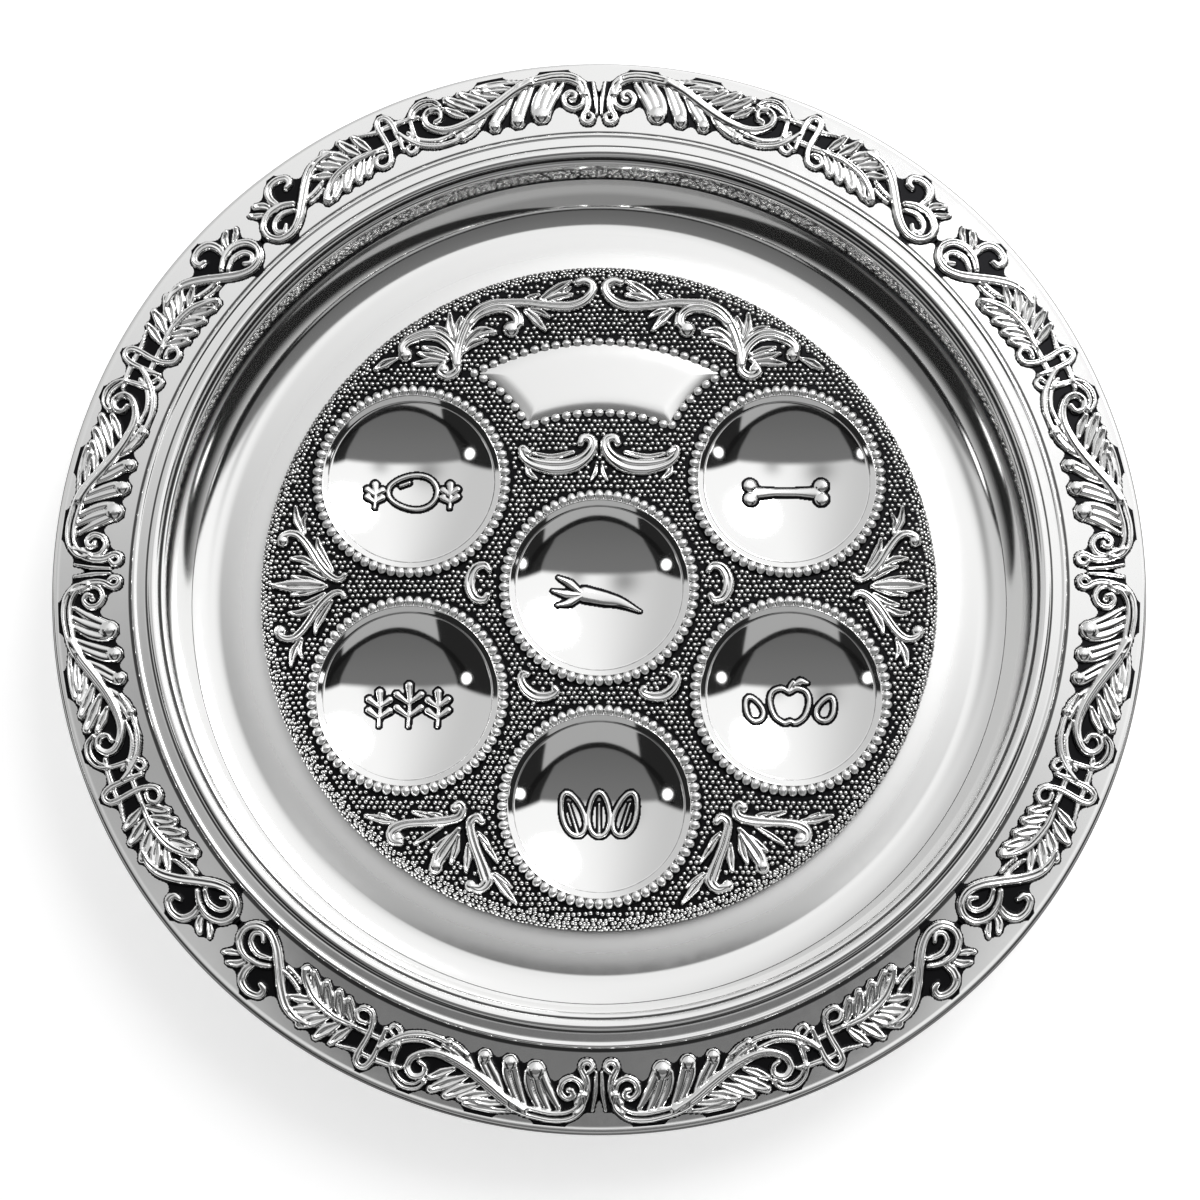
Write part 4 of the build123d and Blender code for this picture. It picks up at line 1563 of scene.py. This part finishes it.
@dataclass
class MedallionSprays:
    """The scrolls and leaves on the medallion, drawn for the left side and mirrored."""

    levels: Levels
    finishes: Finishes
    step: float = 0.3
    outline: float = 0.6
    pocket: float = 1.3
    fullness: float = 1.34
    sunk: float = 0.3
    ground: float = 0.03
    spray_level: float = 0.4
    reliefs: dict[str, Relief] = field(default_factory=dict)

    def garland(self) -> list[Stroke]:
        """The long scroll over the plaque, with its leaves and end curls."""
        return [
            stem([(-55, 88), (-55, 92.3), (-54.1, 96.6), (-52.5, 101.6), (-50, 106.6), (-46.3, 110.4),
                  (-41.3, 112.6), (-36, 113), (-30, 113.2), (-23, 112.4), (-17, 111.8), (-11, 111.9),
                  (-6, 113.8), (-2.8, 117.4), (-2.8, 120.6), (-5.6, 122.2), (-8.4, 121.4)],
                 1.6, 1.7, 1.8, 1.7, 1.5, 1.5, 1.7, 1.6, 1.3),
            stem([(-50, 104.5), (-46.5, 108.2), (-41, 110.6), (-36, 110.6), (-32.5, 108.4), (-31.6, 105),
                  (-33.4, 102.8)], 1.2, 1.6, 1.7, 1.6),
            bud((-34.2, 102.4), 2.6, 2.5),
            lobe([(-33, 111), (-30.6, 107.6), (-29.7, 104.1)], 0.6, 0.9, 0.6),
            lobe([(-28.7, 110), (-25, 106.6), (-20.9, 102)], 0.8, 1.7, 0.8),
            lobe([(-27.5, 110.4), (-23.1, 109.4), (-19.4, 107.2)], 0.6, 1.1, 0.6),
            lobe([(-30, 114.2), (-26.5, 115.6), (-23.4, 116.4)], 0.6, 1.0, 0.5),
            lobe([(-23, 114), (-18.6, 117.4), (-14.4, 120.2), (-10.8, 121.8)], 0.9, 1.6, 1.5, 0.6),
            lobe([(-21, 113.8), (-15.6, 115.8), (-10.4, 116.4)], 0.8, 1.4, 0.6),
            lobe([(-13.6, 117.4), (-11.2, 119)], 0.8, 0.6),
            lobe([(-56, 97.5), (-57.8, 103), (-58, 108.4)], 1.0, 1.8, 0.8),
            lobe([(-55.4, 98), (-55, 103), (-53.6, 107)], 0.8, 1.4, 0.8),
            lobe([(-56.8, 97.6), (-61, 102), (-66, 103)], 0.8, 1.3, 0.6),
            stem([(-55, 88.5), (-55.8, 92.3), (-58, 96.3), (-62, 99.5), (-66.5, 100.4), (-70.4, 99.4),
                  (-74, 97.6), (-76.2, 95), (-76, 92.8)], 1.6, 1.7, 1.9, 2.0, 1.9, 1.7, 1.5),
            bud((-75.2, 92), 2.3),
            lobe([(-59, 92), (-63.6, 94), (-68.4, 94.8)], 0.8, 1.3, 0.6),
            lobe([(-59, 90), (-64.6, 91.2), (-70, 92.4)], 0.9, 1.5, 0.7),
            lobe([(-60, 88.8), (-66, 89), (-72, 87.9)], 0.9, 1.6, 0.8),
            lobe([(-53, 93), (-50, 98.6), (-45.6, 101.6), (-40.6, 101)], 0.8, 1.5, 1.9, 1.1),
            lobe([(-52, 93.6), (-48.6, 96.6), (-43.6, 97.8)], 0.7, 1.3, 0.7),
            stem([(-55, 88), (-55.4, 85), (-58.5, 83.2), (-61.4, 84.6), (-60.6, 87)], 1.4, 1.5, 1.5),
            bud((-60.4, 86), 1.9),
            lobe([(-78.6, 90.4), (-82.6, 88.6), (-86.6, 86)], 0.7, 1.7, 0.8),
        ]

    def side_spray(self) -> list[Stroke]:
        """The palmette beside the cups, the same above and below its own middle."""
        upper = [
            stem([(-96.4, 4.6), (-97.6, 3.2), (-100, 3.1), (-103.4, 5.6), (-106.6, 9.4), (-109.4, 13.9),
                  (-112, 17.6), (-114.8, 20.2), (-117.8, 20.8), (-120.4, 19.6), (-121, 17.9)],
                 1.0, 1.3, 1.3, 1.4, 1.3, 1.2),
            bud((-120.4, 17.8), 1.9),
            lobe([(-112.6, 21), (-115, 25.6), (-115.8, 31.2)], 0.7, 1.5, 0.6),
            lobe([(-112, 20.8), (-112.8, 25), (-111.6, 28.4)], 0.5, 0.9, 0.5),
            lobe([(-101, 6.2), (-104, 11), (-106.4, 15.4), (-107, 18.6)], 0.5, 1.0, 1.4, 0.7),
            lobe([(-104, 3.4), (-108.6, 6.4), (-113.2, 7.8)], 0.7, 1.3, 0.6),
            lobe([(-108, 8.4), (-112.6, 10.8), (-117, 10.9)], 0.8, 1.4, 0.7),
            lobe([(-104.5, 1.2), (-110.8, 3), (-116.4, 4)], 0.6, 1.1, 0.6),
        ]
        level = self.spray_level
        spear = [(-103.4, level), (-112.4, level), (-119.4, level), (-122.8, level)]
        strokes = [lobe(spear, 0.8, 2.3, 2.2, 1.0, height=2.5)]
        for stroke in upper:
            below = [(x, 2 * level - y) for x, y in stroke.points]
            strokes += [stroke, Stroke(below, stroke.widths, stroke.heights, stroke.groove)]
        return strokes

    def lower_spray(self) -> list[Stroke]:
        """The three leaves between two scrolls under the lower cups."""
        return [
            stem([(-53.6, -83.6), (-51.8, -82.4), (-50.6, -84.2), (-51.8, -87), (-56, -88.3), (-63.4, -89),
                  (-70.6, -89.4), (-75.2, -90.8), (-77.2, -93), (-76.4, -95.8), (-73.4, -96.6)],
                 1.5, 1.4, 1.5, 1.7, 1.5, 1.4, 1.5, 1.7, 1.4, 1.2),
            bud((-74.4, -95), 1.9),
            lobe([(-60, -87.4), (-64.6, -86.2), (-69, -85.2)], 0.6, 1.1, 0.7),
            lobe([(-56.6, -87.4), (-60, -86.2), (-63.4, -85.6)], 0.5, 0.8, 0.4),
            lobe([(-73, -89), (-79.6, -88), (-86.4, -86.6)], 0.5, 1.6, 0.8),
            lobe([(-76, -88.4), (-79.6, -86.6), (-81.6, -85.6)], 0.4, 0.9, 0.4),
            lobe([(-58, -90.6), (-63, -93.6), (-68, -97)], 0.5, 1.0, 0.8),
            lobe([(-52, -91.5), (-56, -97.4), (-59, -102), (-60.4, -105.4)], 0.9, 1.9, 2.3, 2.0, height=2.5),
            lobe([(-54.5, -93.5), (-58.6, -97), (-62, -99.6)], 0.7, 1.3, 0.7),
            lobe([(-52, -94), (-53, -99.4), (-54.6, -104)], 0.7, 1.4, 0.8),
            bud((-60.2, -105.4), 2.2, 2.5),
            stem([(-43.4, -88.8), (-45.2, -87), (-47.6, -88.8), (-47.4, -92.4), (-46, -97.6), (-44, -102.7),
                  (-42.2, -107.6), (-41.4, -111), (-43.8, -113.4), (-47.2, -112.6)],
                 1.3, 1.4, 1.5, 1.6, 1.6, 1.7, 2.0, 2.0, 1.6, 1.3),
            bud((-47.4, -112.2), 1.8),
            lobe([(-44.4, -94), (-41, -98.4), (-37.4, -103.8)], 0.5, 1.2, 0.6),
            lobe([(-44.8, -92.6), (-42.2, -95.4), (-40, -98.6)], 0.4, 0.9, 0.4),
            lobe([(-39.4, -108), (-35, -113.4), (-30.6, -118.6)], 0.5, 1.6, 0.7),
            lobe([(-38.4, -107.6), (-34.6, -110.6), (-32, -113)], 0.4, 0.8, 0.4),
            lobe([(-48.6, -97), (-48.6, -102.4), (-49, -107)], 0.5, 1.5, 0.8),
        ]

    def cradle(self) -> list[Stroke]:
        """The C-scroll under the plaque."""
        return [
            stem([(-27, 52.5), (-29.4, 54.2), (-28.8, 51), (-25, 48.4), (-18, 47), (-11, 47.6), (-5.5, 50.5),
                  (-2.7, 54.5), (-3.1, 58), (-6, 58.6), (-7.2, 56.4)], 1.2, 1.8, 2.5, 2.4, 1.7, 1.2),
            lobe([(-25, 52.4), (-18, 51.2), (-10, 53)], 0.7, 1.0, 0.7, height=1.6),
            lobe([(-27.5, 48.6), (-27, 45), (-24.2, 42.4)], 0.7, 1.2, 0.7, height=1.8),
            lobe([(-1.1, 47.6), (-1.6, 44.6), (-3.2, 41.6)], 0.4, 0.8, 0.4, height=1.7),
            lobe([(-1, 51.4), (-1.1, 54), (-1, 57.4)], 0.3, 0.6, 0.4, height=1.7),
        ]

    def middle_curl(self) -> list[Stroke]:
        """The small scroll beside the middle cup."""
        return [
            stem([(-41.6, 6.5), (-43.5, 8.4), (-46.8, 7.4), (-48.8, 3.6), (-48.8, -1), (-46.8, -4.4),
                  (-43.6, -5.1), (-42.2, -3.2)], 1.1, 1.6, 1.9, 1.6, 1.2),
        ]

    def lower_curl(self) -> list[Stroke]:
        """The small scroll between the middle cup and the bottom cup."""
        return [
            stem([(-27, -33.6), (-28.8, -33.4), (-29.2, -36), (-27.3, -39.4), (-23.5, -41.8), (-19, -41.8),
                  (-16.2, -40.3), (-16.8, -38.8)], 1.1, 1.6, 1.9, 1.6, 1.2),
        ]

    def build(self) -> None:
        """Make each spray and its mirrored partner."""
        drawn = {
            "garland": self.garland(),
            "side_spray": self.side_spray(),
            "lower_spray": self.lower_spray(),
            "cradle_scroll": self.cradle(),
            "middle_curl": self.middle_curl(),
            "lower_curl": self.lower_curl(),
        }
        for name, strokes in drawn.items():
            relief = Relief(strokes, self.step, self.outline, self.pocket, self.fullness)
            self.reliefs[name] = relief
            for side, way in (("left", 1), ("right", -1)):

                def on_top(u: np.ndarray, v: np.ndarray) -> np.ndarray:
                    """Points of the medallion's top."""
                    return np.stack([way * u, v, np.full(u.shape, self.levels.medallion_top)], 1)

                mesh, deep = relief.solid(on_top, self.sunk, self.ground, way < 0)
                piece = new_piece(f"{name}_relief_{side}", mesh, self.finishes.relief)
                set_oxide_and_shade(piece, deep)
                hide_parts(f"{name}_{side}")

    def covers(self, x: np.ndarray, y: np.ndarray) -> np.ndarray:
        """Whether points of the medallion's top lie under a spray.

        Args:
            x: Their places to the right.
            y: Their places away from the reader.

        Returns:
            True where a spray lies.
        """
        hidden = np.zeros(x.shape, bool)
        for relief in self.reliefs.values():
            column = np.rint((-np.abs(x) - relief.low[0]) / relief.step).astype(int)
            row = np.rint((y - relief.low[1]) / relief.step).astype(int)
            rows, columns = relief.patch.shape
            inside = (column >= 0) & (row >= 0) & (column < columns) & (row < rows)
            hidden[inside] |= relief.patch[row[inside], column[inside]]
        return hidden


@dataclass
class Stipple:
    """Punched dots all over the medallion's ground and round its edge."""

    levels: Levels
    finishes: Finishes
    repeat: Repeat
    rings: BeadRings
    sprays: MedallionSprays
    pitch: float = 2.15
    jitter: float = 0.28
    dot: Point = (1.95, 1.8)
    dot_worn: float = 0.94
    rim_margin: float = 0.6
    cup_margin: float = 0.7
    plaque_margin: float = 2.6
    edge_pitch: float = 1.6
    edge_dot: Point = (1.7, 1.2)
    edge_dot_worn: float = 0.86
    edge_rows: tuple[float, ...] = (6.0, 25.0, 44.0, 63.0)
    edge_jitter: Point = (5.0, 0.25)
    # Painted shade: the lean past which the edge's dots darken, and how fast.
    edge_shade_from: float = 62.0
    edge_shade_ease: float = 24.0
    worn_ease: float = 0.5
    spread: float = 0.14
    seed: int = 7
    spread_seed: int = 11

    def top_points(self) -> np.ndarray:
        """Places of the dots on the flat top, clear of everything that stands there.

        Returns:
            Points in millimetres.
        """
        span = self.levels.plateau_radius
        draw = np.random.default_rng(self.seed)
        rows = np.arange(-span, span, self.pitch * math.sqrt(3) / 2)
        places = []
        for i, y in enumerate(rows):
            xs = np.arange(-span + (i % 2) * self.pitch / 2, span, self.pitch)
            places.append(np.stack([xs, np.full(xs.shape, y)], 1))
        flat = np.vstack(places)
        flat += draw.uniform(-self.jitter, self.jitter, flat.shape)
        keep = np.hypot(flat[:, 0], flat[:, 1]) < span - self.rim_margin
        for x, y in self.levels.cup_places().values():
            keep &= np.hypot(flat[:, 0] - x, flat[:, 1] - y) > self.levels.flange_radius + self.cup_margin
        keep &= ~inside_line(flat, self.rings.plaque_line(self.plaque_margin))
        keep &= ~self.sprays.covers(flat[:, 0], flat[:, 1])
        kept = flat[keep]
        return np.column_stack([kept, np.full(len(kept), self.levels.medallion_top)])

    def edge_points(self) -> tuple[np.ndarray, np.ndarray]:
        """Places of the dots on the rounded edge, and the way they face.

        Returns:
            Points in millimetres and directions.
        """
        facing = []
        draw = np.random.default_rng(self.seed)
        low = self.levels.medallion_top - self.levels.shoulder_radius
        count = round(2 * math.pi * self.levels.plateau_radius / self.edge_pitch)
        up_shift, round_shift = self.edge_jitter
        for i, lean in enumerate(self.edge_rows):
            out = np.radians(lean + draw.uniform(-up_shift, up_shift, count))
            places = np.arange(count) + 0.5 * (i % 2) + draw.uniform(-round_shift, round_shift, count)
            turn = places * 2 * math.pi / count
            facing.append(np.stack([np.sin(out) * np.cos(turn), np.sin(out) * np.sin(turn), np.cos(out)], 1))
        ways = np.vstack(facing)
        flat = ways[:, :2] / np.hypot(ways[:, 0], ways[:, 1])[:, None] * self.levels.plateau_radius
        return np.column_stack([flat, np.full(len(flat), low)]) + self.levels.shoulder_radius * ways, ways

    def build(self) -> None:
        """Punch the dots and darken the ground between them."""
        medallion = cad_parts["medallion"]
        medallion.material_slots[0].material = self.finishes.ground
        top = self.top_points()
        edge, edge_facing = self.edge_points()
        top_facing = np.tile([0.0, 0.0, 1.0], (len(top), 1))
        shoulder, finish = self.levels.shoulder_radius, self.finishes.relief
        for name, points, facing, size, worn in (
            ("stipple_top", top, top_facing, self.dot, self.dot_worn),
            ("stipple_edge", edge, edge_facing, self.edge_dot, self.edge_dot_worn),
        ):
            dots = self.repeat.domes(name, points, facing, size, self.spread, self.spread_seed, finish)
            places = point_places(dots)
            out = np.maximum(np.hypot(places[:, 0], places[:, 1]) - self.levels.plateau_radius, 0)
            up = places[:, 2] - self.levels.medallion_top + shoulder
            rise = 2 * (np.hypot(out, up) - shoulder) / size[1]
            # Painted shade: dots on the rounded edge darken the further they turn down past a given lean.
            lean = (np.degrees(np.arctan2(out, up)) - self.edge_shade_from) / self.edge_shade_ease
            set_oxide_and_shade(dots, np.clip((worn - rise) / self.worn_ease + np.clip(lean, 0, None), 0, 1))
            settle(dots)


def inside_line(points: np.ndarray, line: np.ndarray) -> np.ndarray:
    """Whether points lie inside a closed line.

    Args:
        points: Their places.
        line: The line's points.

    Returns:
        True for those inside.
    """
    inside = np.zeros(len(points), bool)
    for (ax, ay), (bx, by) in zip(line[:, :2], np.roll(line[:, :2], -1, 0)):
        if ay == by:
            continue
        crosses = (ay > points[:, 1]) != (by > points[:, 1])
        inside ^= crosses & (points[:, 0] < (bx - ax) * (points[:, 1] - ay) / (by - ay) + ax)
    return inside


@dataclass
class Sky:
    """The light that the silver mirrors: a white tent, a grey panel round the lens and dark flanks.

    Places are in degrees to the side and to the north of straight up. A range holds where an ease begins
    and ends, then the value at each end.
    """

    lens_north: float
    panel_half: Range = (-30.0, 4.0, 20.0, 30.5)
    panel_edge: Point = (-0.6, 0.8)
    panel_light: Range = (-28.0, 2.0, 0.13, 0.17)
    flank_light: Range = (50.0, 75.0, 0.018, 0.5)
    far_middle: float = 4.0
    far_edge: Point = (25.5, 27.0)
    far_light: Range = (-54.0, -38.0, 0.27, 0.4)
    seam_radius: float = 38.1
    seam_join: Point = (37.6, 38.6)
    seam_edge: Point = (1.2, 1.8)
    seam_light: float = 0.008
    spot_middle: float = 2.8
    spot_side: float = 38.4
    spot_north: float = -0.4
    spot_squash: float = 0.8
    spot_light: Range = (4.0, 11.0, 1.8, 0.0)
    tent_light: Range = (-40.0, 15.0, 0.6, 1.0)
    tent_shades: tuple[Range, ...] = ((-13.0, 7.0, 8.0, 0.55), (12.0, 4.0, 5.0, 0.45))
    tent_north: float = 2.5
    tent_straight: float = 30.0
    tent_slope: float = 0.58
    tent_edge: Point = (-1.2, 2.2)

    def south(self, graph: Graph, side: Socket, north: Socket) -> Socket:
        """The panel round the lens, the paler one beyond it and the dark seam between them.

        Args:
            graph: The world's graph.
            side: Degrees to the side.
            north: Degrees to the north.

        Returns:
            The light there.
        """
        off = graph.math("ABSOLUTE", side)
        flank = graph.ramp(off, *self.flank_light)
        beside = graph.math("SUBTRACT", off, graph.ramp(north, *self.panel_half))
        panel = graph.ramp(north, *self.panel_light)
        near = graph.blend(graph.ramp(beside, *self.panel_edge), panel, flank)
        beyond = graph.ramp(graph.apart(side, self.far_middle), *self.far_edge)
        far = graph.blend(beyond, graph.ramp(north, *self.far_light), flank)
        up = graph.math("SUBTRACT", north, self.lens_north)
        from_lens = graph.math("SQRT", graph.squares(side, up))
        joined_light = graph.blend(graph.ramp(from_lens, *self.seam_join), near, far)
        seam = graph.ramp(graph.apart(from_lens, self.seam_radius), *self.seam_edge)
        return graph.blend(seam, self.seam_light, joined_light)

    def spots(self, graph: Graph, side: Socket, north: Socket) -> Socket:
        """Two bright lamps, one on each side.

        Args:
            graph: The world's graph.
            side: Degrees to the side.
            north: Degrees to the north.

        Returns:
            The light that they add.
        """
        across = graph.math("SUBTRACT", graph.apart(side, self.spot_middle), self.spot_side)
        up = graph.math("MULTIPLY", graph.math("SUBTRACT", north, self.spot_north), self.spot_squash)
        return graph.ramp(graph.squares(across, up), *self.spot_light)

    def tent(self, graph: Graph, side: Socket, north: Socket) -> Socket:
        """The white tent, dimmer to the left and in two soft patches.

        Args:
            graph: The world's graph.
            side: Degrees to the side.
            north: Degrees to the north.

        Returns:
            The light there.
        """
        light = graph.ramp(side, *self.tent_light)
        for shade_side, shade_north, width, depth in self.tent_shades:
            across = graph.math("DIVIDE", graph.math("SUBTRACT", side, shade_side), width)
            along = graph.math("DIVIDE", graph.math("SUBTRACT", north, shade_north), width)
            fade = graph.math("MULTIPLY", graph.squares(across, along), -1.0)
            shade = graph.math("MULTIPLY", graph.math("POWER", math.e, fade), depth)
            light = graph.math("MULTIPLY", light, graph.math("SUBTRACT", 1.0, shade))
        return light

    def build(self) -> None:
        """Set the world up, white where the camera sees it past the floor."""
        world = bpy.data.worlds.new("studio")
        bpy.context.scene.world = world
        world.use_nodes = True
        graph = Graph(world.node_tree)
        place = graph.add("ShaderNodeTexCoord").outputs["Generated"]
        x, y, z = graph.add("ShaderNodeSeparateXYZ", {0: place}).outputs
        degrees = 180.0 / math.pi
        north = graph.math("MULTIPLY", graph.math("ARCTAN2", y, z), degrees)
        side = graph.math("MULTIPLY", graph.math("ARCTAN2", x, z), degrees)
        past = graph.math("SUBTRACT", graph.math("ABSOLUTE", side), self.tent_straight)
        bend = graph.math("MULTIPLY", graph.math("MAXIMUM", past, 0.0), self.tent_slope)
        rise = graph.math("SUBTRACT", graph.math("SUBTRACT", north, bend), self.tent_north)
        south, tent = self.south(graph, side, north), self.tent(graph, side, north)
        wide = graph.blend(graph.ramp(rise, *self.tent_edge), south, tent)
        light = graph.math("ADD", wide, self.spots(graph, side, north))
        seen = graph.add("ShaderNodeLightPath").outputs["Is Camera Ray"]
        color = graph.blend(seen, light, 1.0)
        background = graph.add("ShaderNodeBackground", {"Color": color, "Strength": 1.0})
        graph.add("ShaderNodeOutputWorld", {"Surface": background.outputs[0]})


@dataclass
class Studio:
    """The camera, the pale floor and the lamp, with the light of the sky round them."""

    target: tuple[float, float, float] = (0.32, -10.78, 37.0)
    distance: float = 752.6
    tilt: float = 11.43
    focal_pixels: float = 2065.7
    picture_pixels: float = 1200.0
    sensor: float = 36.0
    floor_half: float = 4.0
    floor_color: Color = (0.86, 0.86, 0.86)
    floor_glow: float = 0.5
    key_size: float = 0.9
    key_power: float = 12.0
    key_place: tuple[float, float, float] = (0.75, 0.95, 1.5)
    key_turn: Point = (-32.0, 26.0)

    def camera(self) -> None:
        """Place the camera above the plate, a little towards the reader."""
        data = bpy.data.cameras.new("camera")
        data.sensor_fit = "HORIZONTAL"
        data.sensor_width = self.sensor
        data.lens = self.focal_pixels / self.picture_pixels * self.sensor
        data.clip_start = 0.01
        lean = math.radians(self.tilt)
        camera = bpy.data.objects.new("camera", data)
        camera.location = (
            self.target[0] * MM,
            (self.target[1] - self.distance * math.sin(lean)) * MM,
            (self.target[2] + self.distance * math.cos(lean)) * MM,
        )
        camera.rotation_euler = (lean, 0.0, 0.0)
        bpy.context.scene.collection.objects.link(camera)
        bpy.context.scene.camera = camera

    def floor(self) -> None:
        """Lay the pale floor, white where the camera sees it lit."""
        half = self.floor_half
        corners = [(-half, -half, 0), (half, -half, 0), (half, half, 0), (-half, half, 0)]
        data = bpy.data.meshes.new("floor")
        data.from_pydata(corners, [], [(0, 1, 2, 3)])
        material = bpy.data.materials.new("floor_paper")
        material.use_nodes = True
        graph = Graph(material.node_tree)
        rays = graph.add("ShaderNodeLightPath").outputs
        mirrored = graph.math("MAXIMUM", rays["Is Glossy Ray"], rays["Is Transmission Ray"])
        seen = graph.math("MAXIMUM", rays["Is Camera Ray"], mirrored)
        shader = graph.add(
            "ShaderNodeBsdfPrincipled",
            {
                "Base Color": (*self.floor_color, 1.0),
                "Roughness": 0.9,
                "Emission Color": (1.0, 1.0, 1.0, 1.0),
                "Emission Strength": graph.math("MULTIPLY", seen, self.floor_glow),
            },
        )
        graph.add("ShaderNodeOutputMaterial", {"Surface": shader.outputs[0]})
        data.materials.append(material)
        floor = bpy.data.objects.new("floor", data)
        bpy.context.scene.collection.objects.link(floor)

    def lamps(self) -> None:
        """Add the soft key light that throws the plate's shadow to the lower left."""
        data = bpy.data.lights.new("key", "AREA")
        data.shape = "DISK"
        data.size = self.key_size
        data.energy = self.key_power
        key = bpy.data.objects.new("key", data)
        key.location = self.key_place
        lean, roll = self.key_turn
        key.rotation_euler = (math.radians(lean), math.radians(roll), 0.0)
        bpy.context.scene.collection.objects.link(key)

    def build(self) -> None:
        """Set up the whole studio."""
        bpy.context.scene.view_settings.view_transform = "Standard"
        self.camera()
        self.floor()
        Sky(self.tilt).build()
        self.lamps()


def main() -> None:
    """Build every piece in order and report it."""
    logging.basicConfig(level=logging.INFO, format="%(name)s %(message)s")
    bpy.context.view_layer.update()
    levels = Levels()
    finishes = Finishes()
    Studio().build()
    Tray(levels, finishes).build()
    BorderMounts(levels, finishes).build()
    Cups(levels, finishes).build()
    repeat = Repeat()
    rings = BeadRings(levels, finishes, repeat)
    rings.build()
    Plaque(levels, finishes, rings).build()
    sprays = MedallionSprays(levels, finishes)
    sprays.build()
    Stipple(levels, finishes, repeat, rings, sprays).build()


if __name__ == "__main__":
    main()
